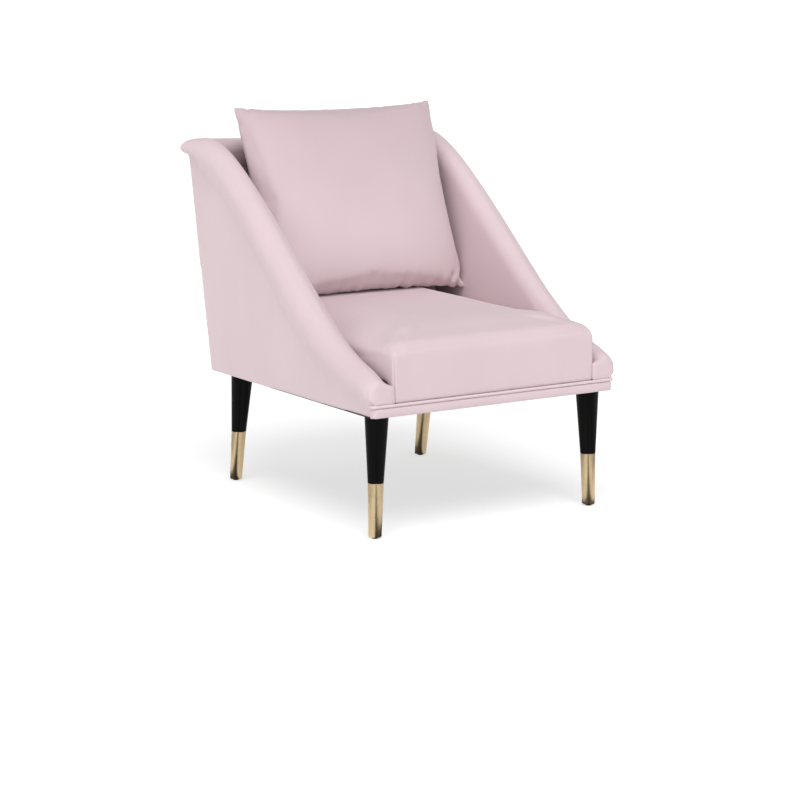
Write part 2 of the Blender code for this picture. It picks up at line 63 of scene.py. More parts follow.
# The body under its covers
BASE_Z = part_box("dust_cover")[0].z
CREST_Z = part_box("back_roll_cover")[1].z
RAIL_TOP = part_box("front_rail")[1].z
RAKE = radians(10.5)
REAR_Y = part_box("dust_cover")[1].y + 0.004
BACK_THICKNESS = 0.0986
LIP_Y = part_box("back_roll_cover")[1].y
FRONT_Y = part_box("front_piping")[0].y
BOARD_IN, BOARD_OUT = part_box("right_arm_board")[0].x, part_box("right_arm_board")[1].x
PILLOW_Y = 0.199  # where the middle of the pillow stands
RIDGE_X = 0.3115  # where the roll is sewn to the inside of the arm
ARM_INSIDE = 0.2850  # inside face of an arm's padding
ARM_FRONT_Y = -0.4260  # front end of that padding
PANEL_FRONT_Y = -0.4205  # front edge of the panel outside an arm
PANEL_TOP_Z = 0.812  # top of that panel at its rear edge
PANEL_THICKNESS = 0.009
PANEL_DROP = 0.070  # how far under the ridge that panel ends
LAP = 0.0006  # clearance between a panel and the board behind it
SEAT_HALF = 0.2785
SEAT_FOOT_Z, SEAT_TOP_Z = 0.3075, 0.4715
BACK_FOOT_Z, BACK_TOP_Z = 0.345, 0.7825  # of the padded inside of the back
ROLL_FOOT_Z = 0.7760  # lower edge of the back's roll, inside
OUTSIDE_TOP_Z = 0.802  # top of the outside panel of the back
FLARE_FRONT, FLARE_REAR = 0.3305, 0.3395  # half width of the body at its front and rear corners

# The ridge of an arm, as (Y, Z): two Bezier stretches, each as knot, handle, handle, knot
ARM_SLOPE = ((-0.432, 0.381), (-0.198, 0.393), (0.106, 0.789), (0.321, 0.849))
ARM_TOP = ((0.321, 0.849), (0.345, 0.8557), (0.385, 0.8525), (0.4385, 0.8440))

# The roll across its length, as (outward, down from the ridge)
ROLL_OUTLINE = (
    (0.3115, -0.0005), (0.3160, 0.0000), (0.3225, 0.0010), (0.3305, 0.0050), (0.3390, 0.0115),
    (0.3465, 0.0210), (0.3500, 0.0310), (0.3503, 0.0410), (0.3482, 0.0510), (0.3447, 0.0610),
    (0.3403, 0.0710), (0.3363, 0.0810), (0.3338, 0.0930),
)
# The same where the roll ends in a slimmer lip at the rear corner
LIP_OUTLINE = (
    (0.3115, -0.0005), (0.3160, 0.0000), (0.3245, 0.0015), (0.3340, 0.0045), (0.3430, 0.0095),
    (0.3500, 0.0165), (0.3525, 0.0235), (0.3515, 0.0300), (0.3465, 0.0350), (0.3390, 0.0372),
    (0.3345, 0.0385), (0.3335, 0.0450), (0.3335, 0.0560),
)
FRONT_FALL = 0.011  # how far the ridge dips at its front end
ROLL_UNDER = 0.0445  # how far the roll comes down over the board
# How wide the roll is along the arm, front to back, as (share of the ridge, scale)
ROLL_WIDTH = (
    (0.0, 0.92), (0.12, 1.12), (0.25, 1.18), (0.45, 1.00), (0.60, 1.00), (0.84, 1.05), (1.0, 1.0),
)


# ---- numbers and lines


def between(knots, at):
    """The height at `at` of a smooth line through (place, height) knots."""
    if at <= knots[0][0]:
        return knots[0][1]
    for (a, low), (b, high) in zip(knots, knots[1:]):
        if at <= b:
            t = (at - a) / (b - a)
            return low + (high - low) * t * t * (3 - 2 * t)
    return knots[-1][1]


def step(low, high, at):
    """0 below `low`, 1 above `high`, and a smooth rise between them."""
    t = min(max((at - low) / (high - low), 0.0), 1.0)
    return t * t * (3 - 2 * t)


def hump(at, middle, width):
    """1 at `middle`, and a bell's fall to either side."""
    return exp(-(((at - middle) / width) ** 2))


def flare(y):
    """Half the body's width at this depth: it widens a little to the rear."""
    share = (y - FRONT_Y) / (REAR_Y - FRONT_Y)
    return FLARE_FRONT + (FLARE_REAR - FLARE_FRONT) * min(max(share, 0.0), 1.15)


def back_y(z, forward=0.0):
    """Y of the plane `forward` of the back's outside, at this height."""
    return REAR_Y + (z - BASE_Z) * tan(RAKE) - forward / cos(RAKE)


def rear_limit(z):
    """The rearmost Y at this height: the lip at the top, and the raked back below it."""
    lip, plane = 0.0175, back_y(z, 0.003)
    off_middle = abs(z - CREST_Z + lip)
    if off_middle >= lip:
        return LIP_Y - lip if z > CREST_Z - lip else plane
    return max(plane, LIP_Y - lip + lip * (1 - (off_middle / lip) ** 3) ** (1 / 3))


def ridge(steps=46):
    """The ridge as (Y, Z, forward tangent) stations, from its front end to its back end."""
    knots = [[Vector((y, z, 0)) for y, z in part] for part in (ARM_SLOPE, ARM_TOP)]
    line = interpolate_bezier(*knots[0], steps)[:-1] + interpolate_bezier(*knots[1], steps // 3)
    stations = []
    for i, point in enumerate(line):
        ahead = line[min(i + 1, len(line) - 1)] - line[max(i - 1, 0)]
        stations.append((point.x, point.y, ahead.normalized()))
    return stations


def under_ridge(drop, low=-9.0, high=9.0):
    """(Y, Z) points of the line `drop` under the ridge, kept between two Y."""
    found = [(y + drop * ahead.y, z - drop * ahead.x) for y, z, ahead in ridge()]
    return [p for p in found if low <= p[0] <= high]


# ---- meshes


def new_verts(geometry):
    return [item for item in geometry if isinstance(item, bmesh.types.BMVert)]


def plate(bm, outline, across, depth, axis="X"):
    """A plate from a flat outline, pushed through along one axis."""
    place = {"X": lambda a, b: (across, a, b), "Y": lambda a, b: (a, across, b)}[axis]
    face = bm.faces.new([bm.verts.new(place(a, b)) for a, b in outline])
    grown = bmesh.ops.extrude_face_region(bm, geom=[face])["geom"]
    push = Vector((depth, 0, 0)) if axis == "X" else Vector((0, depth, 0))
    bmesh.ops.translate(bm, verts=new_verts(grown), vec=push)
    bmesh.ops.recalc_face_normals(bm, faces=bm.faces)


def drawn_out(bm, sections):
    """A skin drawn from section to section by extruding its edges, with both ends shut."""
    ring = [bm.verts.new(point) for point in sections[0]]
    edges = [bm.edges.new(pair) for pair in zip(ring, ring[1:] + ring[:1])]
    first = list(edges)
    for section in sections[1:]:
        grown = bmesh.ops.extrude_edge_only(bm, edges=edges)["geom"]
        fresh = set(new_verts(grown))
        ring = [next(e.other_vert(v) for e in v.link_edges if e.other_vert(v) in fresh) for v in ring]
        for vert, point in zip(ring, section):
            vert.co = point
        edges = [bm.edges.get(pair) for pair in zip(ring, ring[1:] + ring[:1])]
    bmesh.ops.contextual_create(bm, geom=first)
    bmesh.ops.contextual_create(bm, geom=edges)
    bmesh.ops.recalc_face_normals(bm, faces=bm.faces)


def mesh_object(name, bm):
    mesh = bpy.data.meshes.new(name)
    bm.to_mesh(mesh)
    bm.free()
    obj = bpy.data.objects.new(name, mesh)
    bpy.context.scene.collection.objects.link(obj)
    return obj


def settled(obj):
    """Applies an object's modifiers to its mesh."""
    bpy.context.view_layer.update()
    graph = bpy.context.evaluated_depsgraph_get()
    mesh = bpy.data.meshes.new_from_object(obj.evaluated_get(graph))
    obj.modifiers.clear()
    old, obj.data = obj.data, mesh
    bpy.data.meshes.remove(old)
    mesh.name = obj.name


def one_skin(bm, voxel, rounds=6):
    """Joins overlapping closed forms into one even skin, and eases it."""
    obj = mesh_object("skin", bm)
    remesh = obj.modifiers.new("skin", "REMESH")
    remesh.mode = "VOXEL"
    remesh.voxel_size = voxel
    settled(obj)
    joined = taken_up(obj)
    eased(joined, rounds)
    return joined


def taken_up(obj):
    """The object's mesh for further editing; the object itself goes."""
    bm = bmesh.new()
    bm.from_mesh(obj.data)
    bpy.data.objects.remove(obj, do_unlink=True)
    return bm


def refined(obj):
    """Subdivides an object once, and takes its mesh up."""
    smooth = obj.modifiers.new("fine", "SUBSURF")
    smooth.levels = smooth.render_levels = 1
    settled(obj)
    return taken_up(obj)


def eased(bm, rounds, verts=None):
    """Evens out the whole mesh, or only some of its vertices."""
    for _ in range(rounds):
        bmesh.ops.smooth_vert(
            bm, verts=verts or bm.verts, factor=0.5, use_axis_x=True, use_axis_y=True, use_axis_z=True
        )


def sculpted(bm, shape):
    """Moves every vertex to what `shape` makes of its place and normal."""
    bm.normal_update()
    places = [shape(vert.co.copy(), vert.normal.copy()) for vert in bm.verts]
    for vert, place in zip(bm.verts, places):
        vert.co = place
    bm.normal_update()


def swollen(obj, frames, pressure, most, pinned=None, stiffness=15.0):
    """Blows an object up as cloth, moves no vertex further than `most`, and keeps the shape."""
    scene = bpy.context.scene
    start = [vert.co.copy() for vert in obj.data.vertices]
    cloth = obj.modifiers.new("cloth", "CLOTH")
    settings = cloth.settings
    settings.quality = 5
    settings.use_pressure = True
    settings.uniform_pressure_force = pressure
    settings.effector_weights.gravity = 0.0
    settings.tension_stiffness = stiffness
    settings.compression_stiffness = stiffness
    settings.bending_stiffness = 0.4
    if pinned:
        group = obj.vertex_groups.new(name="pinned")
        for index, weight in pinned:
            group.add([index], weight, "REPLACE")
        settings.vertex_group_mass = "pinned"
    cloth.point_cache.frame_start = 1
    cloth.point_cache.frame_end = frames
    for number in range(1, frames + 1):
        scene.frame_set(number)
    settled(obj)
    scene.frame_set(1)
    obj.vertex_groups.clear()
    for vert, home in zip(obj.data.vertices, start):
        moved_by = vert.co - home
        if moved_by.length > most:
            vert.co = home + moved_by * (most / moved_by.length)


def piece(obj, body, slot, material, nodes=(), rounded=None):
    """Hands a finished object over: its body, its material and the nodes it stands for. The slot is not
    used.
    """
    obj.data.materials.clear()
    obj.data.materials.append(material)
    obj.data.shade_smooth()
    if rounded:
        obj.data.set_sharp_from_angle(angle=radians(rounded))
    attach(obj, body)
    if nodes:
        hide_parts(*nodes)
    return obj


# ---- materials


class Wire:
    """A node's output in an expression: arithmetic on it adds Math nodes."""

    def __init__(self, paint, socket):
        self.paint = paint
        self.socket = socket

    def joined(self, operation, first, second):
        return self.paint.node("ShaderNodeMath", {"operation": operation}, {0: first, 1: second})

    def __add__(self, other):
        return self.joined("ADD", self, other)

    def __radd__(self, other):
        return self.joined("ADD", other, self)

    def __sub__(self, other):
        return self.joined("SUBTRACT", self, other)

    def __rsub__(self, other):
        return self.joined("SUBTRACT", other, self)

    def __mul__(self, other):
        return self.joined("MULTIPLY", self, other)

    def __rmul__(self, other):
        return self.joined("MULTIPLY", other, self)

    def __pow__(self, other):
        return self.joined("POWER", self, other)


class Paint:
    """A material under construction."""

    def __init__(self, name, **sockets):
        self.material = bpy.data.materials.new(name)
        self.material.use_nodes = True
        self.tree = self.material.node_tree
        self.shader = self.tree.nodes["Principled BSDF"]
        self.into(self.shader, sockets)

    def into(self, node, inputs):
        for key, value in inputs.items():
            socket = node.inputs[key.replace("_", " ") if isinstance(key, str) else key]
            if isinstance(value, Wire):
                self.tree.links.new(value.socket, socket)
            elif isinstance(value, tuple) and len(value) == 3 and socket.type == "RGBA":
                socket.default_value = (*value, 1.0)
            else:
                socket.default_value = value

    def node(self, kind, settings=None, inputs=None, output=0):
        made = self.tree.nodes.new(kind)
        for key, value in (settings or {}).items():
            if key == "stops":
                ramp = made.color_ramp
                while len(ramp.elements) < len(value):
                    ramp.elements.new(0.5)
                for element, (place, shade) in zip(ramp.elements, value):
                    element.position = place
                    element.color = (shade, shade, shade, 1.0)
            else:
                setattr(made, key, value)
        self.into(made, inputs or {})
        return Wire(self, made.outputs[output])

    def place(self, scale=(1, 1, 1)):
        coordinates = self.node("ShaderNodeTexCoord", output="Object")
        return self.node("ShaderNodeMapping", {}, {"Vector": coordinates, "Scale": scale})

    def noise(self, scale, place, detail=3.0, roughness=0.55):
        inputs = {"Vector": place, "Scale": scale, "Detail": detail, "Roughness": roughness}
        return self.node("ShaderNodeTexNoise", {}, inputs)

    def ramp(self, value, *stops):
        return self.node("ShaderNodeValToRGB", {"stops": stops}, {"Fac": value})

    def mix(self, factor, first, second, blend="MIX"):
        settings = {"data_type": "RGBA", "blend_type": blend}
        return self.node("ShaderNodeMix", settings, {0: factor, 6: first, 7: second}, output=2)

    def blend(self, value, low, high, first, second):
        """`first` where the value is under `low`, `second` where it is over `high`."""
        return self.mix(self.ramp(value, (low, 0.0), (high, 1.0)), first, second)

    def wave(self, place, across, scale, distortion, detail=2.0):
        inputs = {"Vector": place, "Scale": scale, "Distortion": distortion, "Detail": detail}
        return self.node("ShaderNodeTexWave", {"bands_direction": across}, inputs, output=1)

    def bump(self, height, strength, distance=0.001, normal=None):
        inputs = {"Height": height, "Strength": strength, "Distance": distance}
        if normal:
            inputs["Normal"] = normal
        return self.node("ShaderNodeBump", {}, inputs)

    def wear(self, **sockets):
        self.into(self.shader, sockets)
        return self.material


def shade(colour, factor):
    return tuple(min(channel * factor, 1.0) for channel in colour)


def velvet(name, colour, painted_shading=None):
    """Short pile: soft cloudy patches where the nap lies another way, and a fine fibre grain.

    The last argument is (low, high, foot, head): painted shade and light, the colour scaled from `foot`
    to `head` between two heights.
    """
    sheen = {"Sheen_Weight": 0.35, "Sheen_Roughness": 0.45, "Sheen_Tint": (1.0, 0.93, 0.95)}
    paint = Paint(name, Specular_IOR_Level=0.35, **sheen)
    place = paint.place()
    clouds = paint.noise(3.2, place, 2.0)
    strokes = paint.noise(11.0, paint.place(scale=(1.0, 1.0, 0.45)), 3.0)
    pile = paint.noise(1500.0, place, 2.0, 0.7)
    weave = paint.noise(420.0, paint.place(scale=(1.0, 0.35, 1.0)), 2.0)
    lying = clouds * 0.6 + strokes * 0.4
    tint = paint.blend(lying, 0.34, 0.66, shade(colour, 0.955), shade(colour, 1.03))
    grain = paint.blend(pile, 0.30, 0.75, shade(colour, 0.90), shade(colour, 1.05))
    coloured = paint.mix(0.30, tint, grain)
    # Painted shade and light: the colour is scaled by height, darker where shadow falls and lighter where
    # light falls, with a browner tint in the dark.
    if painted_shading:
        low, high, foot, head = painted_shading
        height = paint.node("ShaderNodeSeparateXYZ", None, {"Vector": paint.place()}, output=2)
        foot, head = ((tone, tone**1.2, tone**1.1) for tone in (foot, head))
        painted_shading_ramp = paint.mix(paint.ramp(height, (low, 0.0), (high, 1.0)), foot, head)
        coloured = paint.mix(1.0, coloured, painted_shading_ramp, "MULTIPLY")
    soft = paint.bump(weave * 0.4 + pile * 0.6, 0.16, 0.0006)
    normal = paint.bump(strokes, 0.10, 0.004, soft)
    return paint.wear(Base_Color=coloured, Roughness=0.60 + lying * 0.12, Normal=normal)


def cord_velvet(name, colour):
    """Velvet stretched round a cord, with its filling cord's lay showing through a little."""
    paint = Paint(name, Sheen_Weight=0.35, Sheen_Roughness=0.45, Specular_IOR_Level=0.35)
    place = paint.place()
    pile = paint.noise(1300.0, place, 2.0, 0.7)
    lay = paint.wave(place, "DIAGONAL", 90.0, 1.5, 1.0)
    coloured = paint.blend(pile, 0.30, 0.75, shade(colour, 0.93), shade(colour, 1.03))
    normal = paint.bump(lay * 0.3 + pile * 0.7, 0.18, 0.0006)
    return paint.wear(Base_Color=coloured, Roughness=0.66, Normal=normal)


def lacquered_wood(name, colour):
    """Black satin lacquer over close-grained wood, which telegraphs the grain faintly."""
    paint = Paint(name, Coat_Roughness=0.25, Specular_IOR_Level=0.06)
    grain = paint.noise(60.0, paint.place(scale=(1.0, 1.0, 0.05)), 5.0)
    dust = paint.noise(700.0, paint.place(), 2.0)
    coloured = paint.blend(grain, 0.35, 0.70, shade(colour, 0.7), shade(colour, 1.5))
    rough = 0.30 + grain * 0.10 + dust * 0.05
    return paint.wear(
        Base_Color=coloured, Roughness=rough, Coat_Weight=0.06, Normal=paint.bump(grain, 0.06, 0.0008)
    )


def brushed_brass(name, colour):
    """Brushed tube, its strokes running down it, a little darker in cloudy patches of tarnish."""
    paint = Paint(name)
    strokes = paint.noise(900.0, paint.place(scale=(1.0, 1.0, 0.012)), 3.0, 0.65)
    tarnish = paint.noise(22.0, paint.place(), 4.0)
    coloured = paint.blend(tarnish, 0.35, 0.75, colour, shade(colour, 0.84))
    rough = 0.20 + strokes * 0.10 + tarnish * 0.08
    normal = paint.bump(strokes, 0.05, 0.0004)
    return paint.wear(Base_Color=coloured, Roughness=rough, Metallic=1.0, Normal=normal)


def drawn_steel(name):
    paint = Paint(name, Metallic=1.0)
    place = paint.place()
    streaks = paint.noise(240.0, place, 4.0)
    spots = paint.noise(30.0, place, 3.0)
    coloured = paint.blend(spots, 0.4, 0.8, (0.52, 0.53, 0.55), (0.36, 0.36, 0.37))
    normal = paint.bump(streaks, 0.08, 0.0004)
    return paint.wear(Base_Color=coloured, Roughness=0.28 + streaks * 0.18, Normal=normal)


def moulded_nylon(name):
    paint = Paint(name)
    grain = paint.noise(1100.0, paint.place(), 2.0)
    scuffs = paint.noise(90.0, paint.place(), 4.0)
    coloured = paint.blend(scuffs, 0.5, 0.8, (0.014, 0.014, 0.015), (0.05, 0.05, 0.05))
    normal = paint.bump(grain, 0.12, 0.0003)
    return paint.wear(Base_Color=coloured, Roughness=0.42 + scuffs * 0.2, Normal=normal)


def planed_pine(name, along="Y"):
    """Planed softwood, its growth rings drawn out along the rail."""
    stretch = {"X": (0.06, 1.0, 1.0), "Y": (1.0, 0.06, 1.0), "Z": (1.0, 1.0, 0.06)}[along]
    paint = Paint(name, Specular_IOR_Level=0.3)
    place = paint.place(scale=stretch)
    warp = paint.noise(9.0, place, 3.0)
    rings = paint.node(
        "ShaderNodeTexWave", {"wave_type": "RINGS", "rings_direction": along},
        {"Vector": place, "Scale": 26.0, "Distortion": 4.0, "Detail": 3.0}, output=1,
    )
    pores = paint.noise(260.0, place, 3.0)
    ringed = paint.blend(rings * 0.7 + warp * 0.3, 0.25, 0.8, (0.66, 0.48, 0.28), (0.46, 0.28, 0.13))
    coloured = paint.mix(paint.ramp(pores, (0.55, 0.0), (0.75, 0.35)), ringed, (0.33, 0.20, 0.10))
    normal = paint.bump(rings, 0.1, 0.0006)
    return paint.wear(Base_Color=coloured, Roughness=0.62 + pores * 0.15, Normal=normal)


def layered_plywood(name):
    """Birch plies that show on a board's edges as thin bands across its thickness."""
    paint = Paint(name, Specular_IOR_Level=0.3)
    plies = paint.wave(paint.place(), "X", 104.0, 0.6)
    grain = paint.noise(70.0, paint.place(scale=(1.0, 0.08, 1.0)), 4.0)
    banded = paint.blend(plies, 0.35, 0.65, (0.62, 0.46, 0.28), (0.47, 0.32, 0.18))
    coloured = paint.mix(paint.ramp(grain, (0.4, 0.0), (0.8, 0.6)), banded, (0.50, 0.35, 0.20))
    return paint.wear(Base_Color=coloured, Roughness=0.7, Normal=paint.bump(grain, 0.12, 0.0006))


def jute_webbing(name):
    """Plain-woven straps: warp and weft as two crossed waves."""
    paint = Paint(name)
    place = paint.place()
    threads = paint.wave(place, "X", 150.0, 0.4) * paint.wave(place, "Z", 150.0, 0.4)
    fibres = paint.noise(600.0, place, 3.0)
    coloured = paint.blend(threads, 0.05, 0.6, (0.25, 0.17, 0.09), (0.52, 0.39, 0.24))
    height = threads * 0.8 + fibres * 0.2
    return paint.wear(Base_Color=coloured, Roughness=0.85, Normal=paint.bump(height, 0.5, 0.0008))


def pressed_felt(name):
    paint = Paint(name)
    fibres = paint.noise(320.0, paint.place(), 5.0, 0.7)
    flecks = paint.noise(45.0, paint.place(), 4.0)
    coloured = paint.blend(flecks, 0.35, 0.7, (0.27, 0.26, 0.25), (0.42, 0.39, 0.35))
    return paint.wear(Base_Color=coloured, Roughness=0.95, Normal=paint.bump(fibres, 0.4, 0.001))


def black_lining(name):
    """Spun-bonded cloth: dark, matt, with a fine embossed dot."""
    paint = Paint(name)
    dots = paint.node("ShaderNodeTexVoronoi", {}, {"Vector": paint.place(), "Scale": 420.0}, output=0)
    threads = paint.noise(800.0, paint.place(), 3.0)
    coloured = paint.blend(threads, 0.3, 0.8, (0.012, 0.012, 0.013), (0.045, 0.045, 0.048))
    normal = paint.bump(dots * 0.7 + threads * 0.3, 0.3, 0.0005)
    return paint.wear(Base_Color=coloured, Roughness=0.88, Normal=normal)


def open_foam(name):
    paint = Paint(name)
    cells = paint.node("ShaderNodeTexVoronoi", {}, {"Vector": paint.place(), "Scale": 500.0}, output=0)
    ageing = paint.noise(14.0, paint.place(), 3.0)
    coloured = paint.blend(ageing, 0.3, 0.75, (0.86, 0.81, 0.64), (0.80, 0.70, 0.48))
    return paint.wear(Base_Color=coloured, Roughness=0.95, Normal=paint.bump(cells, 0.5, 0.0008))


# ---- what a user may change


def length(name, description, default, low=0.0, high=10.0):
    return bpy.props.FloatProperty(
        name=name, description=description, default=default, min=low, max=high, unit="LENGTH"
    )


def angle(name, description, default):
    return bpy.props.FloatProperty(
        name=name, description=description, default=radians(default), subtype="ANGLE"
    )


def tint(name, description, default):
    return bpy.props.FloatVectorProperty(
        name=name, description=description, default=default, subtype="COLOR", size=3, min=0.0, max=1.0
    )


class ArmchairCovers(bpy.types.PropertyGroup):
    velvet_colour: tint("Velvet", "Colour of the body's velvet", (0.620, 0.496, 0.525))
    pillow_colour: tint("Pillow velvet", "Colour of the loose pillow", (0.620, 0.496, 0.525))
    piping_colour: tint("Piping", "Colour of the corded seam in front", (0.660, 0.535, 0.560))
    voxel: length("Skin detail", "Size of the faces of the padded covers", 0.004, 0.003, 0.010)
    seat_swell: length("Seat swell", "The furthest the seat's cover may swell out", 0.0045, 0.0, 0.03)


class ArmchairPillow(bpy.types.PropertyGroup):
    width: length("Width", "Width of the pillow from corner to corner", 0.566, 0.3, 0.7)
    height: length("Height", "Height of the pillow from corner to corner", 0.490, 0.3, 0.7)
    thickness: length("Thickness", "Thickness of the filled pillow in its middle", 0.150, 0.05, 0.3)
    pull: length("Bowed sides", "How far each seam bows in between its corners", 0.011, 0.0, 0.04)
    plump: bpy.props.FloatProperty(
        name="Plumpness", description="Pressure of the filling", default=1.6, min=0.1, max=8.0
    )
    lean: angle("Lean", "How far the pillow leans back from upright", 19.5)


class ArmchairLegs(bpy.types.PropertyGroup):
    top_radius: length("Top radius", "Radius of a leg under the body", 0.0275, 0.01)
    sleeve_radius: length("Ferrule radius", "Radius of a leg where its ferrule begins", 0.01825, 0.005)
    foot_radius: length("Foot radius", "Radius of a ferrule at the floor", 0.01475, 0.005)
    lacquer_colour: tint("Lacquer", "Colour of the legs", (0.0014, 0.0013, 0.0013))
    brass_colour: tint("Brass", "Colour of the ferrules", (0.66, 0.51, 0.31))


class ArmchairStudio(bpy.types.PropertyGroup):
    azimuth: angle("Azimuth", "Where the camera stands round the chair, from its front", -32.65)
    elevation: angle("Elevation", "How far above level the camera stands", 10.75)
    distance: length("Distance", "From the camera to what it looks at", 5.295, 1.0, 50.0)
    target: bpy.props.FloatVectorProperty(
        name="Target", description="The point that the camera looks at", size=3,
        default=(-0.1797, -0.3063, 0.2912), subtype="XYZ", unit="LENGTH",
    )
    lens: bpy.props.FloatProperty(
        name="Lens", description="Focal length in millimetres on a 36 mm sensor", default=104.13, min=20.0
    )
    floor_colour: tint("Floor", "Colour of the studio floor", (0.50, 0.50, 0.50))


class Maker:
    bl_options = {"REGISTER", "UNDO"}


# ---- the arms


def arm_roll_form(bm, side):
    """The roll, the outside of the arm under it, and the arm's front."""
    stations = ridge()
    plumb = Vector((1.0, 0.0, 0.0))
    corner, end_round = 0.013, 0.014
    front, rear = FRONT_Y + 0.0045, LIP_Y - 0.0005
    sections = []
    for i, (y, z, ahead) in enumerate(stations):
        along = i / (len(stations) - 1)
        ahead = ahead.lerp(plumb, 1.0 - step(-0.42, -0.33, y)).normalized()
        wide = between(ROLL_WIDTH, along)
        grow = flare(y) - 0.335
        z -= FRONT_FALL * (1 - step(FRONT_Y, FRONT_Y + 0.060, y))
        nose = max(corner - (y - front), 0.0)
        tail = max(end_round - (rear - y), 0.0)
        trim = corner - sqrt(max(corner**2 - nose**2, 0.0))
        trim += end_round - sqrt(max(end_round**2 - tail**2, 0.0))
        outline = []
        slim = step(0.78, 0.93, along)
        for (out, down), (lip_out, lip_down) in zip(ROLL_OUTLINE, LIP_OUTLINE):
            out, down = out + (lip_out - out) * slim, down + (lip_down - down) * slim
            share = min(max((out - RIDGE_X) / 0.020, 0.0), 1.0)
            outline.append((out + (grow - trim) * share, down * wide))
        low = outline[-1][1]
        outline += [(BOARD_OUT + LAP, low), (BOARD_OUT + LAP, ROLL_UNDER), (RIDGE_X, ROLL_UNDER)]
        section = []
        for out, down in outline:
            at_y, at_z = y + down * ahead.y, z - down * ahead.x
            section.append((side * out, min(at_y, rear_limit(at_z)), at_z))
        sections.append(section)
    drawn_out(bm, sections)
    panel = [(PANEL_FRONT_Y, BASE_Z)] + [(back_y(z, 0.003), z) for z in (BASE_Z, PANEL_TOP_Z)]
    panel += [(0.352, 0.800)] + under_ridge(PANEL_DROP, PANEL_FRONT_Y, 0.300)[::-1]
    near = BOARD_OUT + LAP
    plate(bm, panel, side * near, side * PANEL_THICKNESS)
    for vert in bm.verts:
        if abs(side * vert.co.x - near - PANEL_THICKNESS) < 1e-5:
            vert.co.x = side * flare(vert.co.y)
    front_outline = (
        (0.2785, 0.3100), (0.2785, 0.3510), (0.2880, 0.3560), (0.3000, 0.3615), (0.3115, 0.3660),
        (0.3210, 0.3630), (0.3290, 0.3540), (0.3320, 0.3400), (0.3320, 0.3100),
    )
    plate(bm, [(side * x, z) for x, z in front_outline], FRONT_Y + 0.0036, 0.0150, "Y")


def arm_inside_form(bm, side):
    """The padding of the inside of an arm, from the seat's side up to the ridge."""
    low = RAIL_TOP + 0.002
    outline = (
        (ARM_INSIDE, 0.0480), (0.2852, 0.0340), (0.2866, 0.0240), (0.2905, 0.0140), (0.2960, 0.0070),
        (0.3030, 0.0022), (0.3110, -0.0002), (0.3150, 0.0010), (0.3150, 0.0440),
        (BOARD_IN - 0.0005, 0.0440), (BOARD_IN - 0.0005, 0.0480),
    )
    sections = []
    for y, z, ahead in ridge():
        if y > 0.345:
            break
        z -= FRONT_FALL * (1 - step(FRONT_Y, FRONT_Y + 0.060, y))
        ahead = ahead.lerp(Vector((1.0, 0.0, 0.0)), 1.0 - step(-0.42, -0.33, y)).normalized()
        dip = 0.009 * (1 - step(-0.435, -0.36, y))
        section = []
        for out, down in outline:
            inward = min(max((0.312 - out) / 0.030, 0.0), 1.0)
            at_y = max(y + down * ahead.y, ARM_FRONT_Y)
            section.append((side * out, at_y, z - down * ahead.x - dip * inward))
        sections.append(section)
    drawn_out(bm, sections)
    inner = under_ridge(0.042, -0.410, 0.335)
    under_back = BACK_THICKNESS - 0.014
    face = [(inner[0][0], low), (back_y(low, under_back), low), (back_y(0.76, under_back), 0.76)]
    face += [p for p in inner[::-1] if p[0] < back_y(p[1], under_back)]
    plate(bm, face, side * ARM_INSIDE, side * (BOARD_IN - 0.0005 - ARM_INSIDE))


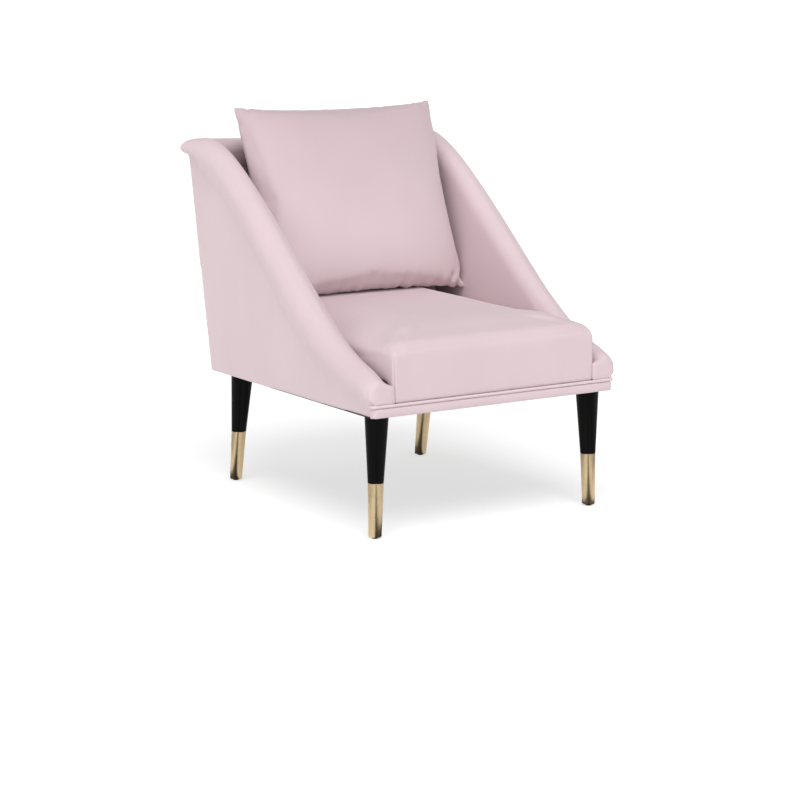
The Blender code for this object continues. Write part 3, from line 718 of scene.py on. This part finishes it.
class ArmchairArms(Maker, bpy.types.Operator):
    """Builds both arms: one padded skin each, parted along the ridge where roll and inside are sewn"""

    bl_idname = "armchair.arms"
    bl_label = "Arms"

    def execute(self, context):
        covers = context.scene.armchair_covers
        cloth = velvet("arm_velvet", tuple(covers.velvet_colour))
        for side, word in SIDES:
            bm = bmesh.new()
            arm_roll_form(bm, side)
            arm_inside_form(bm, side)
            bm = one_skin(bm, covers.voxel, 5)
            front = [v for v in bm.verts if v.co.y < -0.392 and v.co.z > 0.330 and side * v.co.x > 0.300]
            eased(bm, 14, front)
            sculpted(bm, lambda co, normal: self.shape(side, co, normal))
            whole = mesh_object(f"{word}_arm", bm)
            outer = ("arm_roll_cover", "arm_roll_padding", "outside_arm_cover")
            self.part(whole, side, 1, f"{word}_arm_roll", cloth, outer)
            inner = ("inside_arm_cover", "inside_arm_padding")
            self.part(whole, side, -1, f"{word}_inside_arm", cloth, inner)
            bpy.data.objects.remove(whole, do_unlink=True)
        return {"FINISHED"}

    def shape(self, side, co, normal):
        """Crowns the flat stretches, and presses in the pleat and the dimple by the front corner."""
        out = side * co.x
        wave = noise.noise(Vector((co.y * 6, co.z * 6, side * 4.0)))
        if normal.x * side > 0.5:
            height = step(BASE_Z, BASE_Z + 0.10, co.z) * (1 - step(0.60, 0.75, co.z))
            length = step(-0.43, -0.15, co.y) * (1 - step(0.15, 0.37, co.y))
            out += 0.0030 * height * length + 0.0010 * wave
        if normal.x * side < -0.5:
            crown = step(0.34, 0.50, co.z) * (1 - step(0.62, 0.80, co.z)) * step(-0.40, -0.15, co.y)
            out -= 0.0035 * crown * (1 - step(0.10, 0.27, co.y)) + 0.0010 * wave
            beside = (1 - step(0.2840, 0.2852, out)) * (1 - step(0.48, 0.54, co.z))
            out -= 0.0046 * beside * (1 - crown)
        if co.z < 0.375 and out > 0.31:
            pleat = hump(co.y, FRONT_Y + 0.017, 0.0032) * (1 - step(0.335, 0.365, co.z))
            dimple = hump(hypot(co.y - FRONT_Y - 0.010, co.z - 0.3150), 0.0, 0.0060)
            out -= 0.0022 * pleat + 0.0070 * dimple
        return Vector((side * out, co.y, co.z))

    def part(self, whole, side, outward, name, cloth, nodes):
        bm = bmesh.new()
        bm.from_mesh(whole.data)
        cut = bmesh.ops.bisect_plane(
            bm, geom=bm.verts[:] + bm.edges[:] + bm.faces[:], plane_co=(side * RIDGE_X, 0, 0),
            plane_no=(-side * outward, 0, 0), clear_outer=True, dist=0.00001,
        )
        edges = [item for item in cut["geom_cut"] if isinstance(item, bmesh.types.BMEdge)]
        bmesh.ops.holes_fill(bm, edges=edges, sides=0)
        bmesh.ops.recalc_face_normals(bm, faces=bm.faces)
        obj = mesh_object(name, bm)
        word = name.split("_")[0]
        piece(obj, "chair", "velvet", cloth, [f"{word}_{node}" for node in nodes], rounded=60)


# ---- the back


class ArmchairBack(Maker, bpy.types.Operator):
    """Builds the padded inside of the back, its rolled top edge and its outside panel"""

    bl_idname = "armchair.back"
    bl_label = "Back"

    def execute(self, context):
        covers = context.scene.armchair_covers
        colour = tuple(covers.velvet_colour)
        # Painted shade: the inside of the back darkens to 0.38 of its colour above 0.78 m, in the crevice
        # behind the pillow.
        self.inside(covers.voxel, velvet("inside_back_velvet", colour, (0.62, 0.78, 1.0, 0.38)))
        # Painted shade: the back's roll darkens to 0.28 of its colour below 0.78 m, standing in for the
        # shadow under its lip.
        self.roll(covers.voxel, velvet("back_roll_velvet", colour, (0.780, 0.850, 0.28, 1.0)))
        self.outside(covers.voxel, velvet("back_velvet", colour))
        return {"FINISHED"}

    def inside(self, voxel, cloth):
        bm = bmesh.new()
        low, high = BACK_FOOT_Z, BACK_TOP_Z
        rear, front, half = 0.0590, BACK_THICKNESS - 0.002, 0.2845
        face = [(back_y(low, rear), low), (back_y(high, rear), high)]
        face += [(back_y(high, front), high), (back_y(low, front), low)]
        plate(bm, face, -half, 2 * half)
        bm = one_skin(bm, voxel, 3)

        def shape(co, normal):
            if normal.y < -0.5:
                across = 1 - abs(co.x / 0.284) ** 3
                up = step(0.35, 0.45, co.z) * (1 - step(0.68, 0.78, co.z))
                co.y -= 0.006 * across * up
            return co

        sculpted(bm, shape)
        obj = mesh_object("inside_back", bm)
        piece(obj, "chair", "velvet", cloth, ["inside_back_cover", "back_foam"])

    def roll(self, voxel, cloth):
        bm = bmesh.new()
        front, rear, lip = 0.3215, LIP_Y, 0.018
        foot, half = ROLL_FOOT_Z, 0.3108
        section = [(back_y(foot, BACK_THICKNESS - 0.004), foot)]
        section += [(back_y(0.815, BACK_THICKNESS - 0.006), 0.815)]
        section += [(front, CREST_Z - 0.024), (front + 0.008, CREST_Z - 0.009), (front + 0.026, CREST_Z)]
        for i in range(9):
            angle = pi / 2 - i * radians(150) / 8
            section.append((rear - lip + lip * cos(angle), CREST_Z - lip + lip * sin(angle)))
        section += [(back_y(0.806, 0.002), 0.806), (back_y(0.797, 0.002), 0.797)]
        section += [(back_y(0.797, 0.030), 0.797)]
        section += [(back_y(foot, 0.052), foot)]
        plate(bm, section, -half, 2 * half)
        bm = one_skin(bm, voxel, 5)
        for vert in bm.verts:
            slack = 0.007 + 0.006 * (1 - abs(vert.co.x / half) ** 3)
            vert.co.z -= slack * step(0.800, 0.850, vert.co.z)
        obj = mesh_object("back_roll", bm)
        piece(obj, "chair", "velvet", cloth, ["back_roll_cover", "back_roll_padding"])

    def outside(self, voxel, cloth):
        bm = bmesh.new()
        low, high = BASE_Z, OUTSIDE_TOP_Z
        thick = 0.0095
        face = [(back_y(low, thick), low), (back_y(high, thick), high)]
        face += [(back_y(high), high), (back_y(low), low)]
        half = BOARD_OUT - 0.0002
        plate(bm, face, -half, 2 * half)
        bm = one_skin(bm, voxel, 3)

        def shape(co, normal):
            if normal.y > 0.5:
                across = 1 - abs(co.x / half) ** 4
                up = step(BASE_Z, BASE_Z + 0.10, co.z) * (1 - step(0.70, 0.80, co.z))
                co.y += 0.004 * across * up
            return co

        sculpted(bm, shape)
        obj = mesh_object("outside_back", bm)
        piece(obj, "chair", "velvet", cloth, ["outside_back_cover"])


# ---- the seat


class ArmchairSeat(Maker, bpy.types.Operator):
    """Builds the crowned seat, swollen as cloth over its foam, with a sewn seam down each front corner"""

    bl_idname = "armchair.seat"
    bl_label = "Seat"

    def execute(self, context):
        covers = context.scene.armchair_covers
        cloth = velvet("seat_velvet", tuple(covers.velvet_colour))
        half, front, rear = SEAT_HALF, FRONT_Y + 0.0055, 0.222
        low, high, radius = SEAT_FOOT_Z, SEAT_TOP_Z, 0.040
        profile = [(front, low)]
        for i in range(9):
            angle = pi - i * radians(80) / 8
            profile.append((front + radius * (1 + cos(angle)), high - 0.016 - radius * (1 - sin(angle))))
        profile += [(front + 0.115, high - 0.003), (front + 0.190, high), (rear, high)]
        profile += [(rear, 0.3560), (-0.3985, 0.3560), (-0.4210, 0.3400), (-0.4210, low)]
        bm = bmesh.new()
        plate(bm, profile, -half, 2 * half)
        bm = one_skin(bm, 0.006, 3)

        def rounded_sides(co, normal):
            """Lets the top fall to the sides in a wide curve."""
            side = 1 if co.x > 0 else -1
            top = step(0.38, 0.46, co.z)
            behind = step(front + 0.010, front + 0.150, co.y)
            zone = 0.050 + 0.075 * behind
            edge = max(abs(co.x) - (half - zone), 0.0) / zone
            co.z -= (0.014 + 0.036 * behind) * top * edge ** 2.2
            co.x -= side * 0.0030 * top * edge * behind
            return co

        sculpted(bm, rounded_sides)
        seat = mesh_object("seat", bm)
        pinned = []
        for vert in seat.data.vertices:
            hold = 1 - step(0.330, 0.470, vert.co.z)
            hold = max(hold, step(rear - 0.03, rear - 0.005, vert.co.y))
            if hold > 0:
                pinned.append((vert.index, hold))
        swollen(seat, 20, 4.0, covers.seat_swell, pinned)
        bm = refined(seat)

        def sewn(co, normal):
            """Presses the corner seams in, and a few soft folds that run from them."""
            if co.y < front + 0.030 and normal.y < 0:
                corner = hump(abs(normal.x) + normal.y, 0.0, 0.40) * (1 - step(0.30, 0.55, normal.z))
                co -= normal * 0.0034 * corner * (1 - step(0.446, 0.458, co.z))
            if co.y < -0.30:
                low_tuck = 1 - step(0.330, 0.365, co.z)
                co -= normal * 0.0012 * low_tuck * max(noise.noise(Vector((co.x * 34, 0.0, 4.0))), 0.0)
            sag = noise.noise(Vector((co.x * 5, co.y * 5, 9.0)))
            co += normal * 0.0012 * sag * step(0.40, 0.46, co.z)
            return co

        sculpted(bm, sewn)
        obj = mesh_object("seat", bm)
        piece(obj, "chair", "velvet", cloth, ["seat_cover", "seat_foam"])
        return {"FINISHED"}


# ---- the front trim and the underside


class ArmchairTrim(Maker, bpy.types.Operator):
    """Builds the padded band under the seat, the piping above it and the lining under the body"""

    bl_idname = "armchair.trim"
    bl_label = "Front trim and lining"

    def execute(self, context):
        covers = context.scene.armchair_covers
        cloth = velvet("band_velvet", tuple(covers.velvet_colour))
        self.band(cloth)
        self.piping(cord_velvet("piping_velvet", tuple(covers.piping_colour)))
        self.lining()
        return {"FINISHED"}

    def band(self, cloth):
        low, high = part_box("front_band")
        bm = bmesh.new()
        bulge, edge, half = 0.0045, 0.0040, FLARE_FRONT + 0.0010
        section = []
        for i in range(11):
            angle = pi * (i / 10) - pi / 2
            up = (low.z + high.z) / 2 + (high.z - low.z) / 2 * sin(angle)
            section.append((FRONT_Y + 0.0010 + edge - bulge * cos(angle) ** 0.7, up))
        section += [(high.y, high.z), (high.y, low.z)]
        sections = []
        count = 120
        for i in range(count + 1):
            x = -half + 2 * half * i / count
            near = max(0.010 - (half - abs(x)), 0.0)
            back = 0.010 - sqrt(max(0.010**2 - near**2, 0.0))
            ripple = 0.0005 * noise.noise(Vector((x * 22, 1.0, 2.0)))
            sections.append([(x, y + (back + ripple) * (y < high.y - 0.001), z) for y, z in section])
        drawn_out(bm, sections)
        obj = mesh_object("front_band_padded", bm)
        piece(obj, "chair", "velvet", cloth, ["front_band"], rounded=60)

    def piping(self, cloth):
        low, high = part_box("front_piping")
        middle = (low + high) / 2
        radius, half, sides = 0.0035, FLARE_FRONT + 0.0022, 14
        path = []
        for i in range(7):
            angle = i / 6 * pi / 2
            path.append((-half + 0.008 - 0.008 * cos(angle), middle.y + 0.008 - 0.008 * sin(angle)))
        path = [(-half, middle.y + 0.016)] + path
        inner = [(-half + 0.008 + (2 * half - 0.016) * i / 90, middle.y) for i in range(1, 90)]
        path = path + inner + [(-x, y) for x, y in path[::-1]]
        sections = []
        for i, (x, y) in enumerate(path):
            a, b = path[max(i - 1, 0)], path[min(i + 1, len(path) - 1)]
            out = Vector((b[1] - a[1], -(b[0] - a[0]), 0)).normalized()
            ring = []
            for k in range(sides):
                turn = 2 * pi * k / sides
                swell = radius * (1 + 0.05 * noise.noise(Vector((x * 60, k * 0.4, 7.0))))
                up = Vector((0, 0, swell * sin(turn)))
                ring.append(Vector((x, y, middle.z)) + out * swell * cos(turn) + up)
            sections.append(ring)
        bm = bmesh.new()
        drawn_out(bm, sections)
        obj = mesh_object("front_piping_cord", bm)
        piece(obj, "chair", "piping", cloth, ["front_piping"], rounded=70)

    def lining(self):
        low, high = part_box("dust_cover")
        bm = bmesh.new()
        size = (high - low) / 2
        middle = (low + high) / 2
        bmesh.ops.create_grid(bm, x_segments=48, y_segments=52, size=1.0)
        for vert in bm.verts:
            u, v = vert.co.x, vert.co.y
            slack = (1 - u * u) * (1 - v * v)
            ripple = 0.0006 * noise.noise(Vector((u * 6, v * 6, 3.0)))
            sag = 0.0002 + (0.0030 + ripple) * slack
            vert.co = (middle.x + u * size.x, middle.y + v * size.y, high.z - sag)
        bmesh.ops.solidify(bm, geom=bm.faces, thickness=0.0006)
        bmesh.ops.recalc_face_normals(bm, faces=bm.faces)
        obj = mesh_object("dust_cover_sheet", bm)
        piece(obj, "chair", "lining", black_lining("underside_lining"), ["dust_cover"], rounded=50)


# ---- the pillow


class ArmchairPillowMaker(Maker, bpy.types.Operator):
    """Builds the loose pillow: two sewn panels swollen as cloth, leaned on the back"""

    bl_idname = "armchair.pillow"
    bl_label = "Loose pillow"

    def execute(self, context):
        pillow = context.scene.armchair_pillow
        colour = tuple(context.scene.armchair_covers.pillow_colour)
        obj = mesh_object("pillow", self.panels(pillow))
        swollen(obj, 18, pillow.plump, 0.007, stiffness=25.0)
        across = max(vert.co.x for vert in obj.data.vertices) / (pillow.width / 2)
        along = max(vert.co.y for vert in obj.data.vertices) / (pillow.height / 2)
        for vert in obj.data.vertices:
            vert.co = (vert.co.x / across, vert.co.y / along, vert.co.z)
        bm = refined(obj)
        sculpted(bm, lambda co, normal: self.gathered(pillow, co, normal))
        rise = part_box("pillow_cover")[1].z - pillow.height / 2 * cos(pillow.lean) - 0.0015
        place = Matrix.Translation((0, PILLOW_Y, rise)) @ Matrix.Rotation(pi / 2 - pillow.lean, 4, "X")
        bmesh.ops.transform(bm, verts=bm.verts, matrix=place)
        self.rested(bm)
        obj = mesh_object("pillow", bm)
        # Painted light and shade: the pillow's colour is raised to 1.14 at its foot and lowered to 0.82
        # at its top.
        cloth = velvet("pillow_velvet", colour, (0.50, 0.93, 1.14, 0.82))
        piece(obj, "back_pillow", "pillow_velvet", cloth, ["pillow_cover", "pillow_insert"])
        return {"FINISHED"}

    def panels(self, pillow):
        """Two panels joined at a thin rim, lying flat, filled well out to their edges."""
        bm = bmesh.new()
        bmesh.ops.create_grid(bm, x_segments=88, y_segments=76, size=1.0)
        bmesh.ops.solidify(bm, geom=bm.faces[:], thickness=0.1)
        middle = sum(vert.co.z for vert in bm.verts) / len(bm.verts)
        for vert in bm.verts:
            u, v, face = vert.co.x, vert.co.y, 1 if vert.co.z > middle else -1
            inner = max(abs(u), abs(v)) < 0.9999
            crown = ((1 - abs(u) ** 3.2) * (1 - abs(v) ** 3.0)) ** 0.56 if inner else 0.0
            vert.co.x = u * (pillow.width / 2 - pillow.pull * (1 - v * v))
            vert.co.y = v * (pillow.height / 2 - pillow.pull * (1 - u * u))
            vert.co.z = face * (0.0016 + (pillow.thickness / 2 - 0.0016) * crown)
        bmesh.ops.recalc_face_normals(bm, faces=bm.faces)
        return bm

    def gathered(self, pillow, co, normal):
        """Puckers that run in from the seams, deepest by the lower seam and the lower corners."""
        half_width, half_height = pillow.width / 2, pillow.height / 2
        u, v = co.x / half_width, co.y / half_height
        to_side, to_end = (1 - abs(u)) * half_width, (1 - abs(v)) * half_height
        to_corner = hypot(to_side, to_end)
        low_corner = hump(to_corner, 0.02, 0.060) if v < 0 else 0.35 * hump(to_corner, 0.02, 0.05)
        face = 3.0 if co.z > 0 else 8.0
        along_end = noise.noise(Vector((co.x * 48, face, 1.0)))
        along_side = noise.noise(Vector((co.y * 42, face, 5.0)))
        end_depth = (0.0058 if v < 0 else 0.0012) * hump(to_end, 0.016, 0.020)
        side_depth = 0.0006 * hump(to_side, 0.014, 0.018)
        corner_depth = 0.0120 * low_corner * hump(min(to_end, to_side), 0.012, 0.022)
        fold = end_depth * along_end * (0.3 + 0.7 * min(to_end / 0.012, 1.0)) + side_depth * along_side
        fold += corner_depth * noise.noise(Vector((co.x * 62, co.y * 30, face)))
        lean = 0.0022 * noise.noise(Vector((co.x * 6.5, co.y * 6.5, face))) * min(to_side, to_end) / 0.1
        return co + normal * (fold + lean)

    def rested(self, bm):
        """Flattens the pillow where it stands on the seat."""
        seat = BVHTree.FromObject(bpy.data.objects["seat"], bpy.context.evaluated_depsgraph_get())
        for vert in bm.verts:
            if vert.co.z < 0.53:
                above = Vector((vert.co.x, vert.co.y, 0.60))
                hit = seat.ray_cast(above, Vector((0, 0, -1)))[0]
                if hit:
                    vert.co.z = max(vert.co.z, hit.z + 0.0008)


# ---- the legs


class ArmchairLegsMaker(Maker, bpy.types.Operator):
    """Turns the four tapered legs, their brass ferrules and the glides under them"""

    bl_idname = "armchair.legs"
    bl_label = "Legs, ferrules and glides"

    def execute(self, context):
        legs = context.scene.armchair_legs
        wood = lacquered_wood("leg_lacquer", tuple(legs.lacquer_colour))
        brass = brushed_brass("ferrule_brass", tuple(legs.brass_colour))
        nylon = moulded_nylon("glide_nylon")
        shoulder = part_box("front_left_ferrule")[1].z
        for end in ("front", "rear"):
            for _, word in SIDES:
                self.leg(f"{end}_{word}", legs, shoulder, wood, brass, nylon)
        return {"FINISHED"}

    def leg(self, word, legs, shoulder, wood, brass, nylon):
        top_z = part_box(f"{word}_leg")[1].z
        foot_low, foot_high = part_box(f"{word}_glide")
        bolt_low, bolt_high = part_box(f"{word}_hanger_bolt")
        foot = (foot_low + foot_high) / 2
        top = (bolt_low + bolt_high) / 2
        lean = ((top.x - foot.x) / BASE_Z, (top.y - foot.y) / BASE_Z)
        radius_top, radius_mid, radius_low = legs.top_radius, legs.sleeve_radius, legs.foot_radius
        grow = (radius_top - radius_mid) / (top_z - shoulder)
        shrink = (radius_mid - radius_low) / shoulder
        leg = [(0, top_z), (radius_top - 0.0012, top_z), (radius_top - 0.0002, top_z - 0.0012)]
        leg += [(radius_mid + grow * (top_z - shoulder) * (1 - i / 8), top_z - (top_z - shoulder) * i / 8)
                for i in range(1, 8)]
        leg += [(radius_mid + 0.0002, shoulder + 0.0010), (radius_mid - 0.0008, shoulder + 0.0002)]
        leg += [(radius_mid - 0.0040, shoulder + 0.0002), (radius_mid - 0.0046, shoulder - 0.004)]
        leg += [(radius_low - 0.0034, 0.014), (0, 0.0130)]
        sleeve_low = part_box(f"{word}_ferrule")[0].z
        tube = [(radius_mid - 0.0022, shoulder - 0.0004), (radius_mid - 0.0005, shoulder)]
        tube += [(radius_mid, shoulder - 0.0005)]
        tube += [(radius_mid - shrink * shoulder * i / 6, shoulder * (1 - i / 6)) for i in range(1, 6)]
        tube += [(radius_low + 0.0002, sleeve_low + 0.0012), (radius_low - 0.0006, sleeve_low + 0.0003)]
        tube += [(radius_low - 0.0014, sleeve_low), (0.0030, sleeve_low), (0.0030, sleeve_low + 0.004)]
        tube += [(radius_low - 0.0030, sleeve_low + 0.006)]
        glide = [(0, sleeve_low - 0.0004), (0.0066, sleeve_low - 0.0004), (0.0075, sleeve_low - 0.0010)]
        glide += [(0.0075, 0.0012), (0.0068, 0.0003), (0.0055, 0.0), (0, 0.0)]
        for what, profile, finish, slot, ring in (
            ("leg", leg, wood, "leg_lacquer", False),
            ("ferrule", tube, brass, "brass", True),
            ("glide", glide, nylon, "nylon", False),
        ):
            obj = mesh_object(f"{word}_{what}_turned", self.turned(profile, foot, lean, ring))
            piece(obj, "chair", slot, finish, [f"{word}_{what}"], rounded=28)

    def turned(self, profile, foot, lean, ring):
        bm = bmesh.new()
        verts = [bm.verts.new((radius, 0, z)) for radius, z in profile]
        pairs = list(zip(verts, verts[1:])) + ([(verts[-1], verts[0])] if ring else [])
        edges = [bm.edges.new(pair) for pair in pairs]
        bmesh.ops.spin(
            bm, geom=verts + edges, cent=(0, 0, 0), axis=(0, 0, 1), angle=2 * pi, steps=64, use_merge=True
        )
        bmesh.ops.remove_doubles(bm, verts=bm.verts, dist=0.00002)
        for vert in bm.verts:
            vert.co.x += foot.x + lean[0] * vert.co.z
            vert.co.y += foot.y + lean[1] * vert.co.z
        bmesh.ops.recalc_face_normals(bm, faces=bm.faces)
        return bm


# ---- what lies under the covers


class ArmchairFrameFinishes(Maker, bpy.types.Operator):
    """Gives the frame, boards, springs, straps and bolts under the covers their own finishes"""

    bl_idname = "armchair.frame_finishes"
    bl_label = "Finishes of the hidden frame"

    def execute(self, context):
        across = ("front_rail", "rear_rail", "top_back_rail", "lower_back_rail", "corner_block")
        finishes = (
            (across, planed_pine("pine_across", "X")),
            (("side_rail",), planed_pine("pine_along", "Y")),
            (("back_post",), planed_pine("pine_up", "Z")),
            (("arm_board",), layered_plywood("birch_plywood")),
            (("seat_spring", "hanger_bolt"), drawn_steel("drawn_steel")),
            (("back_webbing",), jute_webbing("jute_webbing")),
            (("seat_insulator",), pressed_felt("pressed_felt")),
            (("foam", "padding", "insert"), open_foam("open_foam")),
        )
        for name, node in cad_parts.items():
            for words, finish in finishes:
                if any(word in name for word in words):
                    for slot in node.material_slots:
                        slot.material = finish
        return {"FINISHED"}


# ---- the studio


class ArmchairStudioMaker(Maker, bpy.types.Operator):
    """Sets up the pale floor, the soft lights and the camera"""

    bl_idname = "armchair.studio"
    bl_label = "Studio"

    def execute(self, context):
        studio = context.scene.armchair_studio
        self.floor(studio)
        self.camera(context, studio)
        self.light("key_light", (-0.26, -0.46, 0.85), 38.0, 2.20)
        self.light("front_light", (0.50, -0.80, 0.12), 60.0, 0.42)
        self.light("left_light", (-0.95, -0.22, 0.05), 70.0, 1.30)
        self.flags(studio)
        self.surroundings(context)
        context.scene.view_settings.view_transform = "Standard"
        return {"FINISHED"}

    def floor(self, studio):
        bm = bmesh.new()
        bmesh.ops.create_grid(bm, x_segments=8, y_segments=8, size=120.0)
        obj = mesh_object("studio_floor", bm)
        glow = {"Emission_Color": (1.0, 1.0, 1.0), "Emission_Strength": 0.60}
        paint = Paint("studio_paper", Roughness=0.9, Specular_IOR_Level=0.0, **glow)
        colour = tuple(studio.floor_colour)
        fibres = paint.noise(40.0, paint.place(), 3.0)
        obj.data.materials.append(paint.wear(Base_Color=paint.mix(fibres, colour, shade(colour, 0.995))))

    def camera(self, context, studio):
        data = bpy.data.cameras.new("studio_camera")
        data.lens = studio.lens
        data.sensor_width = 36.0
        data.clip_end = 400.0
        camera = bpy.data.objects.new("studio_camera", data)
        a, e = studio.azimuth, studio.elevation
        away = Vector((sin(a) * cos(e), -cos(a) * cos(e), sin(e)))
        camera.location = Vector(studio.target) + away * studio.distance
        camera.rotation_euler = (pi / 2 - e, 0, a)
        context.scene.collection.objects.link(camera)
        context.scene.camera = camera

    def light(self, name, toward, spread, strength):
        """A softbox so far off that it lights the whole floor evenly."""
        data = bpy.data.lights.new(name, "SUN")
        data.angle = radians(spread)
        data.energy = strength
        obj = bpy.data.objects.new(name, data)
        obj.location = Vector(toward) * 5
        obj.rotation_euler = Vector(toward).to_track_quat("Z", "Y").to_euler()
        bpy.context.scene.collection.objects.link(obj)

    def flags(self, studio):
        """Black strips that only show as streaks in the brass and the lacquer."""
        strips = ((-1.30, 0.24), (-0.74, 0.12), (-0.43, 0.10), (0.02, 0.13), (0.47, 0.12), (0.95, 0.26))
        bm = bmesh.new()
        turn = Matrix.Rotation(studio.azimuth, 4, "Z")
        for middle, width in strips:
            size = Matrix.Diagonal((width, 5.0, 1.0, 1.0))
            place = turn @ Matrix.Translation((middle, 0.0, 0.0004)) @ size
            bmesh.ops.create_grid(bm, x_segments=1, y_segments=1, size=0.5, matrix=place)
        obj = mesh_object("studio_flags", bm)
        paint = Paint("flag_cloth", Roughness=0.9, Specular_IOR_Level=0.0)
        weave = paint.noise(60.0, paint.place(), 2.0)
        black = paint.mix(weave, (0.010, 0.010, 0.010), (0.02, 0.02, 0.02))
        obj.data.materials.append(paint.wear(Base_Color=black))
        obj.visible_camera = obj.visible_diffuse = obj.visible_shadow = obj.visible_transmission = False

    def surroundings(self, context):
        """Pale walls all round, brighter low down than overhead."""
        world = bpy.data.worlds.new("studio_surroundings")
        world.use_nodes = True
        tree = world.node_tree
        background = tree.nodes["Background"]
        view = tree.nodes.new("ShaderNodeTexCoord")
        split = tree.nodes.new("ShaderNodeSeparateXYZ")
        ramp = tree.nodes.new("ShaderNodeValToRGB")
        ramp.color_ramp.elements[0].position = 0.02
        ramp.color_ramp.elements[0].color = (1.0, 1.0, 1.0, 1.0)
        ramp.color_ramp.elements[1].position = 0.80
        ramp.color_ramp.elements[1].color = (0.62, 0.62, 0.62, 1.0)
        tree.links.new(view.outputs["Generated"], split.inputs["Vector"])
        tree.links.new(split.outputs["Z"], ramp.inputs["Fac"])
        tree.links.new(ramp.outputs["Color"], background.inputs["Color"])
        background.inputs["Strength"].default_value = 0.50
        context.scene.world = world


class ArmchairPanel(bpy.types.Panel):
    """The armchair's pieces and their sizes and colours"""

    bl_idname = "VIEW3D_PT_armchair"
    bl_label = "Armchair"
    bl_space_type = "VIEW_3D"
    bl_region_type = "UI"
    bl_category = "Armchair"

    def draw(self, context):
        layout = self.layout
        for maker in MAKERS:
            layout.operator(maker.bl_idname)
        for name, group in SETTINGS:
            settings = getattr(context.scene, name)
            for prop in group.__annotations__:
                layout.prop(settings, prop)


SETTINGS = (
    ("armchair_covers", ArmchairCovers),
    ("armchair_pillow", ArmchairPillow),
    ("armchair_legs", ArmchairLegs),
    ("armchair_studio", ArmchairStudio),
)
MAKERS = (
    ArmchairStudioMaker, ArmchairFrameFinishes, ArmchairLegsMaker, ArmchairArms, ArmchairBack,
    ArmchairSeat, ArmchairTrim, ArmchairPillowMaker,
)


def register():
    for name, group in SETTINGS:
        bpy.utils.register_class(group)
        setattr(bpy.types.Scene, name, bpy.props.PointerProperty(type=group))
    for maker in MAKERS:
        bpy.utils.register_class(maker)
    bpy.utils.register_class(ArmchairPanel)


def unregister():
    bpy.utils.unregister_class(ArmchairPanel)
    for maker in reversed(MAKERS):
        bpy.utils.unregister_class(maker)
    for name, group in reversed(SETTINGS):
        delattr(bpy.types.Scene, name)
        bpy.utils.unregister_class(group)


def main():
    register()
    bpy.ops.armchair.studio()
    bpy.ops.armchair.frame_finishes()
    bpy.ops.armchair.legs()
    bpy.ops.armchair.arms()
    bpy.ops.armchair.back()
    bpy.ops.armchair.seat()
    bpy.ops.armchair.trim()
    bpy.ops.armchair.pillow()


if __name__ == "__main__":
    main()
